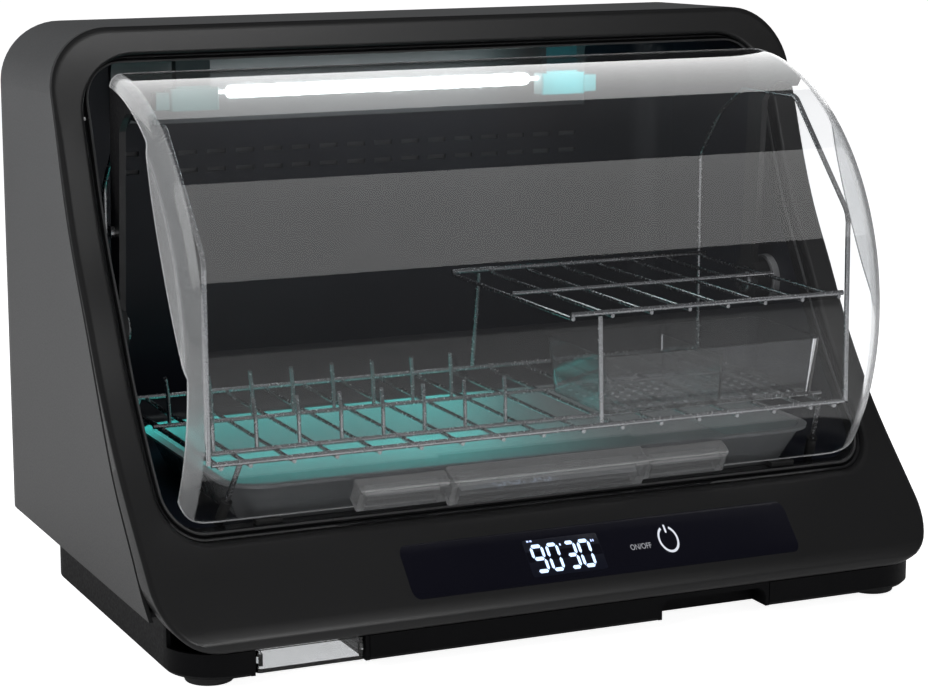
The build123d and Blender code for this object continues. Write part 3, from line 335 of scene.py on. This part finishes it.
world = bpy.data.worlds.new("studio")
sc.world = world
world.use_nodes = True
wn = world.node_tree
wn.nodes.clear()
wo = wn.nodes.new("ShaderNodeOutputWorld")
bg1 = wn.nodes.new("ShaderNodeBackground")
bg1.inputs[0].default_value = (0.16, 0.16, 0.165, 1)
bg1.inputs[1].default_value = 1.0
bg2 = wn.nodes.new("ShaderNodeBackground")
bg2.inputs[0].default_value = (1, 1, 1, 1)
bg2.inputs[1].default_value = 1.0
lp = wn.nodes.new("ShaderNodeLightPath")
mx = wn.nodes.new("ShaderNodeMixShader")
mxm = wn.nodes.new("ShaderNodeMath")
mxm.operation = "MAXIMUM"
wn.links.new(lp.outputs["Is Camera Ray"], mxm.inputs[0])
wn.links.new(lp.outputs["Is Transmission Ray"], mxm.inputs[1])
deep = wn.nodes.new("ShaderNodeMath")
deep.operation = "ADD"
wn.links.new(lp.outputs["Diffuse Depth"], deep.inputs[0])
wn.links.new(lp.outputs["Glossy Depth"], deep.inputs[1])
first = wn.nodes.new("ShaderNodeMath")
first.operation = "LESS_THAN"
first.inputs[1].default_value = 0.5
wn.links.new(deep.outputs[0], first.inputs[0])
both = wn.nodes.new("ShaderNodeMath")
both.operation = "MULTIPLY"
wn.links.new(mxm.outputs[0], both.inputs[0])
wn.links.new(first.outputs[0], both.inputs[1])
wn.links.new(both.outputs[0], mx.inputs[0])
wn.links.new(bg1.outputs[0], mx.inputs[1])
wn.links.new(bg2.outputs[0], mx.inputs[2])
wn.links.new(mx.outputs[0], wo.inputs[0])


def floor_piece():
    me = bpy.data.meshes.new("studio_floor")
    s = 6.0
    me.from_pydata([(-s, -s, -0.0005), (s, -s, -0.0005), (s, s, -0.0005), (-s, s, -0.0005)], [], [(0, 1, 2, 3)])
    ob = bpy.data.objects.new("studio_floor", me)
    sc.collection.objects.link(ob)
    m, nt, p = newmat("studio_floor")
    n = noise(nt, 3.0, 2.0)
    mix = nt.nodes.new("ShaderNodeMix")
    mix.data_type = "RGBA"
    mix.inputs["A"].default_value = (0.93, 0.93, 0.93, 1)
    mix.inputs["B"].default_value = (0.96, 0.96, 0.96, 1)
    nt.links.new(n.outputs["Fac"], mix.inputs["Factor"])
    nt.links.new(mix.outputs["Result"], p.inputs["Base Color"])
    p.inputs["Roughness"].default_value = 0.9
    p.inputs["Specular IOR Level"].default_value = 0.1
    p.inputs["Emission Color"].default_value = (1, 1, 1, 1)
    path = nt.nodes.new("ShaderNodeLightPath")
    seen = nt.nodes.new("ShaderNodeMath")
    seen.operation = "ADD"
    nt.links.new(path.outputs["Diffuse Depth"], seen.inputs[0])
    nt.links.new(path.outputs["Glossy Depth"], seen.inputs[1])
    em = nt.nodes.new("ShaderNodeMapRange")
    em.inputs["To Min"].default_value = 0.92
    em.inputs["To Max"].default_value = 0.06
    nt.links.new(seen.outputs[0], em.inputs["Value"])
    nt.links.new(em.outputs[0], p.inputs["Emission Strength"])
    me.materials.append(m)


floor_piece()


def area(name, loc, target, size, power, color=(1, 1, 1), diffuse=True, glossy=True, trans=True):
    l = bpy.data.lights.new(name, "AREA")
    l.shape = "RECTANGLE"
    l.size, l.size_y = size
    l.energy = power
    l.color = color
    ob = bpy.data.objects.new(name, l)
    sc.collection.objects.link(ob)
    ob.location = loc
    d = Vector(target) - Vector(loc)
    ob.rotation_euler = d.to_track_quat("-Z", "Y").to_euler()
    ob.visible_diffuse = diffuse
    ob.visible_glossy = glossy
    ob.visible_transmission = trans
    return ob


area("key_left", (-1.9, -0.7, 1.3), (0, 0, 0.15), (1.2, 1.2), 19, glossy=False, trans=False)
area("top_soft", (0.1, -0.2, 1.9), (0, 0, 0.1), (1.6, 1.2), 14, glossy=False, trans=False)
area("front_fill", (0.6, -2.4, 0.9), (0, 0, 0.2), (1.4, 0.8), 6, glossy=False, trans=False)


def reflect_panel(name, elev0, elev1, dist, xr, strength, centre=(0.0, PIV_Y * MM, PIV_Z * MM)):
    """Flat bright panel seen only in mirror reflections, spanning two elevations measured from the front."""
    cy, cz = centre[1], centre[2]
    pts = []
    for e in (elev0, elev1):
        a = math.radians(e)
        pts.append((cy - dist * math.cos(a), cz + dist * math.sin(a)))
    me = bpy.data.meshes.new(name)
    me.from_pydata([(xr[0], pts[0][0], pts[0][1]), (xr[1], pts[0][0], pts[0][1]), (xr[1], pts[1][0], pts[1][1]), (xr[0], pts[1][0], pts[1][1])],
                   [], [(0, 1, 2, 3)])
    ob = bpy.data.objects.new(name, me)
    sc.collection.objects.link(ob)
    m = bpy.data.materials.new(name)
    m.use_nodes = True
    nt = m.node_tree
    nt.nodes.clear()
    o = nt.nodes.new("ShaderNodeOutputMaterial")
    e = nt.nodes.new("ShaderNodeEmission")
    e.inputs[1].default_value = strength
    nt.links.new(e.outputs[0], o.inputs[0])
    me.materials.append(m)
    ob.visible_camera = False
    ob.visible_diffuse = False
    ob.visible_transmission = False
    ob.visible_shadow = False
    return ob


panels = [reflect_panel("panel_high", 110.0, 169.0, 2.0, (-1.4, 2.4), 3.1),
          reflect_panel("panel_mid", 27.0, 71.5, 2.0, (-1.4, 2.4), 2.5)]
sheen = area("frame_sheen", (0.22, -1.75, 1.15), (-0.2, 0.0, 0.25), (0.6, 0.8), 20, diffuse=False, trans=False)


def only_on(light, name, objects):
    col = bpy.data.collections.new(name)
    for o in objects:
        col.objects.link(o)
    light.light_linking.receiver_collection = col


# ================================================================ mesh builders


def mesh_piece(name, verts, faces, mats, body="cabinet", indices=None, smooth=True, node=None, sharp=35.0):
    """verts in millimetres."""
    me = bpy.data.meshes.new(name)
    me.from_pydata([(v[0] * MM, v[1] * MM, v[2] * MM) for v in verts], [], faces)
    for m in mats:
        me.materials.append(m)
    if indices is not None:
        for p, k in zip(me.polygons, indices):
            p.material_index = k
    bm = bmesh.new()
    bm.from_mesh(me)
    bmesh.ops.remove_doubles(bm, verts=bm.verts, dist=2e-6)
    bmesh.ops.dissolve_degenerate(bm, edges=bm.edges, dist=2e-6)
    bmesh.ops.recalc_face_normals(bm, faces=bm.faces)
    for f in bm.faces:
        f.smooth = smooth
    for e in bm.edges:
        if len(e.link_faces) == 2 and e.calc_face_angle(0.0) > math.radians(sharp):
            e.smooth = False
    bm.to_mesh(me)
    bm.free()
    ob = bpy.data.objects.new(name, me)
    sc.collection.objects.link(ob)
    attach(ob, body)
    if node:
        if isinstance(node, str):
            node = (node,)
        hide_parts(*node)
    return ob


def ring(hw, z0, z1, rt, rb, nb=28, nc=14, ns=56):
    """Rounded rectangle in XZ, always with the same count of points, from the lower left corner."""
    out = []
    for i in range(nb):
        out.append((-(hw - rb) + 2 * (hw - rb) * i / nb, z0))
    for i in range(nc):
        a = math.radians(-90 + 90 * i / nc)
        out.append((hw - rb + rb * math.cos(a), z0 + rb + rb * math.sin(a)))
    for i in range(ns):
        out.append((hw, z0 + rb + (z1 - rt - z0 - rb) * i / ns))
    for i in range(nc):
        a = math.radians(90 * i / nc)
        out.append((hw - rt + rt * math.cos(a), z1 - rt + rt * math.sin(a)))
    for i in range(nb):
        out.append((hw - rt - 2 * (hw - rt) * i / nb, z1))
    for i in range(nc):
        a = math.radians(90 + 90 * i / nc)
        out.append((-(hw - rt) + rt * math.cos(a), z1 - rt + rt * math.sin(a)))
    for i in range(ns):
        out.append((-hw, z1 - rt - (z1 - rt - z0 - rb) * i / ns))
    for i in range(nc):
        a = math.radians(180 + 90 * i / nc)
        out.append((-(hw - rb) + rb * math.cos(a), z0 + rb + rb * math.sin(a)))
    return np.array(out)


def ring_out(d):
    return ring(HW - d, Z_CHIN + d, Z_TOP - d, R_SHELL - d, R_CHIN - d)


def ring_in(g):
    return ring(OPEN_HW + g, OPEN_Z0 - g, OPEN_Z1 + g, OPEN_RT + g, OPEN_RB + g)


def tube_faces(n_ring, n_sec):
    """Faces of a closed section swept round a closed ring; vertex index = section * n_ring + ring."""
    fs = []
    for s_ in range(n_sec):
        s2 = (s_ + 1) % n_sec
        for r_ in range(n_ring):
            r2 = (r_ + 1) % n_ring
            fs.append((s_ * n_ring + r_, s_ * n_ring + r2, s2 * n_ring + r2, s2 * n_ring + r_))
    return fs


# ------------------------------------------------------------------- front frame
sections = []


def add_section(pts, yfun):
    sections.append([(x, yfun(z), z) for x, z in pts])


def depth_room(z):
    return min(3.5, seam_y(z) - 3.5 - face_y(z) - 0.5)


RI, RO = 2.5, 3.5
a_in, a_out = ring_in(RI), ring_out(RO)
K = 22
for k in range(K + 1):
    t = k / K
    t = 0.5 - 0.5 * math.cos(math.pi * t)
    add_section(a_in * (1 - t) + a_out * t, face_y)
for k in range(1, 8):
    f = math.radians(90 * k / 7)
    add_section(ring_out(RO * (1 - math.sin(f))), lambda z, f=f: face_y(z) + depth_room(z) * (1 - math.cos(f)))
add_section(ring_out(0.0), lambda z: seam_y(z) - 3.5 - 0.4)
add_section(ring_out(0.4), lambda z: seam_y(z) - 3.5)
add_section(ring_out(2.6), lambda z: seam_y(z) - 3.5)


def spigot(z):
    w = min(1.0, max(0.0, (z - 45.0) / 12.0))
    return seam_y(z) - 3.5 + 11.3 * w


add_section(ring_out(2.6), spigot)
add_section(ring_out(5.0), spigot)
add_section(ring_out(5.0), lambda z: face_y(z) + 3.0)
b_out, b_in = ring_out(5.0), ring_in(3.0)
for k in range(1, 13):
    t = k / 12
    add_section(b_out * (1 - t) + b_in * t, lambda z: face_y(z) + 3.0)
add_section(ring_in(3.0), lambda z: face_y(z) + 16.0)
add_section(ring_in(0.0), lambda z: face_y(z) + 16.0)
for k in range(0, 7):
    f = math.radians(90 * k / 6)
    add_section(ring_in(RI * (1 - math.cos(f))), lambda z, f=f: face_y(z) + RI * (1 - math.sin(f)))
sections.pop()
verts = [v for sct in sections for v in sct]
mesh_piece("frame_fascia", verts, tube_faces(len(sections[0]), len(sections)), [M["frame"]], node="front_frame", sharp=50)

# ----------------------------------------------------------- gutter and its bead


def rim_ring(w):
    a = ring_in(-0.05)
    b = ring(OPEN_HW - 5.0, OPEN_Z0 + 5.0, OPEN_Z1 - 5.0, 22.0, 20.0)
    return a * (1 - w) + b * w


prof = [(0.0, 14.0), (0.0, 5.6), (0.06, 5.1), (0.30, 5.0), (0.36, 5.15), (0.40, 6.6), (0.50, 6.6), (0.54, 5.15), (0.60, 5.0)]
for k in range(0, 6):
    f = math.radians(90 * k / 5)
    prof.append((0.80 + 0.20 * math.sin(f), 5.0 + 1.0 * (1 - math.cos(f))))
prof += [(1.0, 9.0), (1.0, 14.0)]
secs = [[(x, face_y(z) + d, z) for x, z in rim_ring(w)] for w, d in prof]
mesh_piece("gutter", [v for q in secs for v in q], tube_faces(len(secs[0]), len(secs)), [M["rim"]], node="opening_rim", sharp=60)

mid = ring(OPEN_HW - 4.1, OPEN_Z0 + 4.1, OPEN_Z1 - 4.1, 22.9, 20.9)
nrm = []
for i in range(len(mid)):
    d = mid[(i + 1) % len(mid)] - mid[i - 1]
    d = d / np.linalg.norm(d)
    nrm.append((d[1], -d[0]))
nrm = np.array(nrm)
secs = []
for k in range(12):
    a = 2 * math.pi * k / 12
    o = mid + nrm * (0.72 * math.cos(a))
    secs.append([(x, face_y(zc) + 4.2 + 0.75 * math.sin(a), z) for (x, z), (xc, zc) in zip(o, mid)])
mesh_piece("gutter_bead", [v for q in secs for v in q], tube_faces(len(secs[0]), len(secs)), [M["seal"]], node="lid_seal")

# --------------------------------------------------------------------- clear lid
CHEEK = [(-68.0, 316.0), (-72.3, 300.7), (-82.6, 267.7), (-104.5, 221.3), (-121.9, 192.0), (-150.0, 154.5)]
cheek_fun = natural(CHEEK)
pol = []
for z in np.linspace(154.5, 316.0, 80):
    y = cheek_fun(z)
    pol.append((math.degrees(math.atan2(PIV_Y - y, z - PIV_Z)), math.hypot(y - PIV_Y, z - PIV_Z)))
pol.sort()
pol = np.array(pol)


def r_line(th):
    return float(np.interp(th, pol[:, 0], pol[:, 1], left=200, right=200))


FIL = 11.0
CX, CR = LID_HW - FIL, LID_R - FIL
S90 = FIL * math.pi / 2


def drop(th):
    r = min(148.2, r_line(th))
    if r >= CR:
        return FIL * math.acos((r - CR) / FIL)
    return S90 + (CR - r)


def sect(sdist, inner):
    f = FIL - (LID_T if inner else 0.0)
    if sdist < S90:
        a = sdist / FIL
        return CX + f * math.sin(a), CR + f * math.cos(a)
    return CX + f, CR - (sdist - S90)


cols = []   # (side, fraction of the drop) or (0, x)
NF = 22
for k in range(NF, 0, -1):
    cols.append((-1, (k / NF) ** 1.35))
for x in [-215, -213.5, -212, -210, -208] + list(np.linspace(-200, 200, 27)) + [208, 210, 212, 213.5, 215]:
    cols.append((0, x))
for k in range(1, NF + 1):
    cols.append((1, (k / NF) ** 1.35))
ROWS = 110
L0 = FIL * math.acos((148.2 - CR) / FIL)


def ends(col):
    side, v = col
    ax = abs(v) if side == 0 else CX + FIL * math.sin(v * L0 / FIL)
    o0 = 18.0 - math.sqrt(max(0.0, 18.0 ** 2 - max(0.0, ax - (LID_HW - 18.0)) ** 2))
    o1 = 22.0 - math.sqrt(max(0.0, 22.0 ** 2 - max(0.0, ax - (LID_HW - 22.0)) ** 2))
    return LID_TH0 + math.degrees(o0 / LID_R), LID_TH1 - math.degrees(o1 / LID_R)


def lid_point(col, th, inner):
    side, v = col
    if side == 0:
        x, r = v, LID_R - (LID_T if inner else 0.0)
    else:
        x, r = sect(v * drop(th), inner)
        x *= side
    a = math.radians(th)
    return (x, PIV_Y - r * math.sin(a), PIV_Z + r * math.cos(a))


verts = []
for inner in (False, True):
    for i in range(ROWS + 1):
        for c in cols:
            e0, e1 = ends(c)
            th = e0 + (e1 - e0) * i / ROWS
            verts.append(lid_point(c, th, inner))
NC_ = len(cols)
off = (ROWS + 1) * NC_
faces, idx = [], []
for i in range(ROWS):
    for j in range(NC_ - 1):
        a, b = i * NC_ + j, i * NC_ + j + 1
        c, d = (i + 1) * NC_ + j + 1, (i + 1) * NC_ + j
        k = 2 if (j < NF or j >= NC_ - 1 - NF) else 0
        faces.append((a, b, c, d))
        idx.append(k)
        faces.append((off + a, off + d, off + c, off + b))
        idx.append(k)
loop = [j for j in range(NC_)] + [i * NC_ + NC_ - 1 for i in range(1, ROWS + 1)] + [ROWS * NC_ + j for j in range(NC_ - 2, -1, -1)] \
    + [i * NC_ for i in range(ROWS - 1, 0, -1)]
for p, q in zip(loop, loop[1:] + loop[:1]):
    faces.append((p, off + p, off + q, q))
    idx.append(1)
lid_ob = mesh_piece("lid_sheet", verts, faces, [M["lid"], M["lid_edge"], M["lid_haze"]], body="lid_body", indices=idx, node="lid",
                    sharp=50)
lid_ob.visible_shadow = False
for pn in panels:
    only_on(pn, pn.name + "_on", [lid_ob, NODES["lid_handle"]])
only_on(sheen, "sheen_on", [bpy.data.objects["frame_fascia"]])

# ------------------------------------------------- control window and its symbols


def chin(x, z, h):
    return (x, face_y(z) - h, z)


def plate_on_chin(name, outline, top, bottom, mat, node=None, ny=10):
    """Thin plate that follows the chin; outline is a list of (x, z)."""
    n = len(outline)
    cx = sum(p[0] for p in outline) / n
    cz = sum(p[1] for p in outline) / n
    vs, fs = [], []
    rings_ = [(0.0, bottom), (0.0, top - 0.08), (0.10, top)]
    span = [1.0 - 0.001 * k for k in range(0)]
    for ins, h in rings_:
        for x, z in outline:
            dx, dz = cx - x, cz - z
            ll = math.hypot(dx, dz) or 1.0
            vs.append(chin(x + dx / ll * ins, z + dz / ll * ins, h))
    for k in range(len(rings_) - 1):
        for i in range(n):
            j = (i + 1) % n
            fs.append((k * n + i, k * n + j, (k + 1) * n + j, (k + 1) * n + i))
    fs.append(tuple(range(n)))
    fs.append(tuple(reversed(range((len(rings_) - 1) * n, len(rings_) * n))))
    return mesh_piece(name, vs, fs, [mat], node=node, sharp=30)


def rrect(x0, x1, z0, z1, r, n=8):
    out = []
    for cx, cz, a0 in ((x1 - r, z0 + r, -90), (x1 - r, z1 - r, 0), (x0 + r, z1 - r, 90), (x0 + r, z0 + r, 180)):
        for i in range(n + 1):
            a = math.radians(a0 + 90 * i / n)
            out.append((cx + r * math.cos(a), cz + r * math.sin(a)))
    return out


def window_plate():
    """Rows across the slope, so that the plate lies on the chin all over."""
    x0, x1, z0, z1, r = -101.0, 155.0, 36.5, 62.0, 4.9
    rows = 24
    vs, fs = [], []
    for h in (0.22, -1.0):
        for i in range(rows + 1):
            z = z0 + (z1 - z0) * (0.5 - 0.5 * math.cos(math.pi * i / rows))
            e = max(0.0, max(z0 + r - z, z - (z1 - r)))
            cut = r - math.sqrt(max(0.0, r * r - e * e))
            for x in (x0 + cut, x0 + cut + 0.4, x1 - cut - 0.4, x1 - cut):
                hh = h
                if h > 0 and (x < x0 + cut + 0.2 or x > x1 - cut - 0.2 or i in (0, rows)):
                    hh = h - 0.12
                vs.append(chin(x, z, hh))
    n = (rows + 1) * 4
    for i in range(rows):
        for j in range(3):
            a, b, c, d = i * 4 + j, i * 4 + j + 1, (i + 1) * 4 + j + 1, (i + 1) * 4 + j
            fs.append((a, b, c, d))
            fs.append((n + a, n + d, n + c, n + b))
    edge = [j for j in range(4)] + [i * 4 + 3 for i in range(1, rows + 1)] + [rows * 4 + j for j in (2, 1, 0)] + [i * 4 for i in range(rows - 1, 0, -1)]
    for p, q in zip(edge, edge[1:] + edge[:1]):
        fs.append((p, n + p, n + q, q))
    return mesh_piece("window_panel", vs, fs, [M["window"]], node="control_window", sharp=40)


window_plate()
plate_on_chin("display_face", rrect(-24.0, 25.0, 40.0, 57.5, 1.4), 0.27, 0.1, M["display"])


def segment(x0, z0, x1, z1, t):
    """Pointed bar of a seven segment digit."""
    dx, dz = x1 - x0, z1 - z0
    ll = math.hypot(dx, dz)
    ux, uz = dx / ll, dz / ll
    nx, nz = -uz, ux
    h = t / 2
    return [(x0, z0), (x0 + ux * h + nx * h, z0 + uz * h + nz * h), (x1 - ux * h + nx * h, z1 - uz * h + nz * h), (x1, z1),
            (x1 - ux * h - nx * h, z1 - uz * h - nz * h), (x0 + ux * h - nx * h, z0 + uz * h - nz * h)]


def prism_set(name, outlines, top, bottom, mat):
    vs, fs = [], []
    for o in outlines:
        n = len(o)
        b = len(vs)
        for h in (bottom, top):
            for x, z in o:
                vs.append(chin(x, z, h))
        for i in range(n):
            j = (i + 1) % n
            fs.append((b + i, b + j, b + n + j, b + n + i))
        fs.append(tuple(b + i for i in range(n)))
        fs.append(tuple(b + n + i for i in reversed(range(n))))
    return mesh_piece(name, vs, fs, [mat], smooth=False)


def digit(x0, w, z0, h, on, t=1.75, g=0.35, lean=0.0):
    x1, zm, z1 = x0 + w, z0 + h / 2, z0 + h
    a = t / 2
    seg = {"a": (x0 + a, z1 - a, x1 - a, z1 - a), "g": (x0 + a, zm, x1 - a, zm), "d": (x0 + a, z0 + a, x1 - a, z0 + a),
           "f": (x0 + a, zm, x0 + a, z1 - a), "b": (x1 - a, zm, x1 - a, z1 - a), "e": (x0 + a, z0 + a, x0 + a, zm), "c": (x1 - a, z0 + a, x1 - a, zm)}
    out = []
    for k in on:
        p = seg[k]
        dx, dz = p[2] - p[0], p[3] - p[1]
        ll = math.hypot(dx, dz)
        ux, uz = dx / ll * g, dz / ll * g
        out.append(segment(p[0] + ux, p[1] + uz, p[2] - ux, p[3] - uz, t))
    return out


DZ0, DH = 41.6, 13.6
outl = digit(-20.6, 8.6, DZ0, DH, "abcfgd") + digit(-10.4, 8.2, DZ0, DH, "abcdef") + digit(1.4, 7.6, DZ0, DH, "abgcd") + digit(10.2, 8.4, DZ0, DH, "abcdef")
prism_set("digits", outl, 0.42, 0.2, M["digits"])
ticks = [rrect(-1.0, 0.0, 53.4, 54.4, 0.2, 2), rrect(19.6, 20.4, 53.4, 54.6, 0.2, 2), rrect(21.0, 21.7, 53.4, 54.6, 0.2, 2),
         rrect(-21.0, -19.6, 57.0 - 0.4, 57.4, 0.2, 2), rrect(-19.0, -17.6, 57.0 - 0.4, 57.4, 0.2, 2)]
prism_set("digit_marks", ticks, 0.40, 0.2, M["marks"])


def power_symbol(cx, cz, r, t, gap=26.0, n=52):
    vs, fs = [], []
    a0, a1 = math.radians(90 + gap), math.radians(450 - gap)
    for h in (0.2, 0.38):
        for k in range(n + 1):
            a = a0 + (a1 - a0) * k / n
            for rr in (r - t / 2, r + t / 2):
                vs.append(chin(cx + rr * math.cos(a), cz + rr * math.sin(a), h))
    m = (n + 1) * 2
    for k in range(n):
        a, b, c, d = k * 2, k * 2 + 1, k * 2 + 3, k * 2 + 2
        fs += [(a, b, c, d), (m + a, m + d, m + c, m + b), (a, d, m + d, m + a), (b, m + b, m + c, c)]
    fs += [(0, m, m + 1, 1), (n * 2, n * 2 + 1, m + n * 2 + 1, m + n * 2)]
    ob = mesh_piece("power_ring", vs, fs, [M["icon"]], smooth=False)
    prism_set("power_bar", [rrect(cx - t / 2, cx + t / 2, cz + r * 0.52, cz + r * 1.18, t * 0.3, 3)], 0.38, 0.2, M["icon"])
    return ob


power_symbol(70.2, 50.2, 6.0, 1.15)


def text_on_chin(name, body, cx, cz, size, mat):
    cu = bpy.data.curves.new(name, "FONT")
    cu.body = body
    cu.size = size
    cu.align_x = "CENTER"
    cu.align_y = "CENTER"
    cu.extrude = 0.08
    cu.resolution_u = 3
    tmp = bpy.data.objects.new(name + "_tmp", cu)
    sc.collection.objects.link(tmp)
    bpy.context.view_layer.update()
    me = bpy.data.meshes.new_from_object(tmp.evaluated_get(bpy.context.evaluated_depsgraph_get()))
    bpy.data.objects.remove(tmp)
    me.name = name
    for v in me.vertices:
        x, z, h = v.co.x + cx, v.co.y + cz, v.co.z
        c = chin(x, z, 0.30 + h)
        v.co = (c[0] * MM, c[1] * MM, c[2] * MM)
    me.materials.clear()
    me.materials.append(mat)
    ob = bpy.data.objects.new(name, me)
    sc.collection.objects.link(ob)
    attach(ob, "cabinet")
    return ob


text_on_chin("on_off_text", "ON/OFF", 50.6, 48.2, 3.9, M["label"])

# ---------------------------------------------------------- small light grommets
vs, fs = [], []
VENTS = [(-15.0, 302.5), (-15.0, 296.8), (-15.0, 291.1), (3.5, 304.3), (3.5, 298.6)]
for sx in (-1, 1):
    for vy, vz in VENTS:
        y0, z0 = vy + 35.0, vz - 4.0
        b = len(vs)
        for rr, dx in ((1.25, -1.2), (1.25, 0.1), (0.9, 0.35), (0.35, 0.5)):
            for k in range(12):
                a = 2 * math.pi * k / 12
                vs.append((sx * (232.5 - dx), y0 + rr * math.cos(a), z0 + rr * math.sin(a)))
        for q in range(3):
            for k in range(12):
                k2 = (k + 1) % 12
                fs.append((b + q * 12 + k, b + q * 12 + k2, b + (q + 1) * 12 + k2, b + (q + 1) * 12 + k))
        fs.append(tuple(b + k for k in range(12)))
        fs.append(tuple(b + 36 + k for k in reversed(range(12))))
mesh_piece("vent_grommets", vs, fs, [M["grommet"]])

# ----------------------------------------------------------- light from the lamp


def inner_area(name, loc, target, size, power, color):
    ob = area(name, loc, target, size, power, color)
    ob.visible_camera = False
    ob.visible_glossy = False
    ob.visible_transmission = False
    return ob


inner_area("teal_floor", (-0.085, 0.045, 0.122), (-0.085, 0.020, 0.08), (0.24, 0.03), 0.21, (0.03, 0.86, 0.78))
inner_area("teal_edge", (0.03, 0.045, 0.125), (0.02, 0.010, 0.08), (0.10, 0.03), 0.05, (0.05, 0.86, 0.78))
inner_area("teal_socket_left", (-0.135, 0.085, 0.320), (-0.135, 0.1225, 0.298), (0.04, 0.02), 0.004, (0.10, 0.90, 0.85))
inner_area("teal_socket_right", (0.135, 0.085, 0.320), (0.135, 0.1225, 0.298), (0.04, 0.02), 0.030, (0.03, 0.88, 0.95))

for nm in ("lid_handle", "cutlery_tray", "water_drawer"):
    NODES[nm].visible_shadow = False
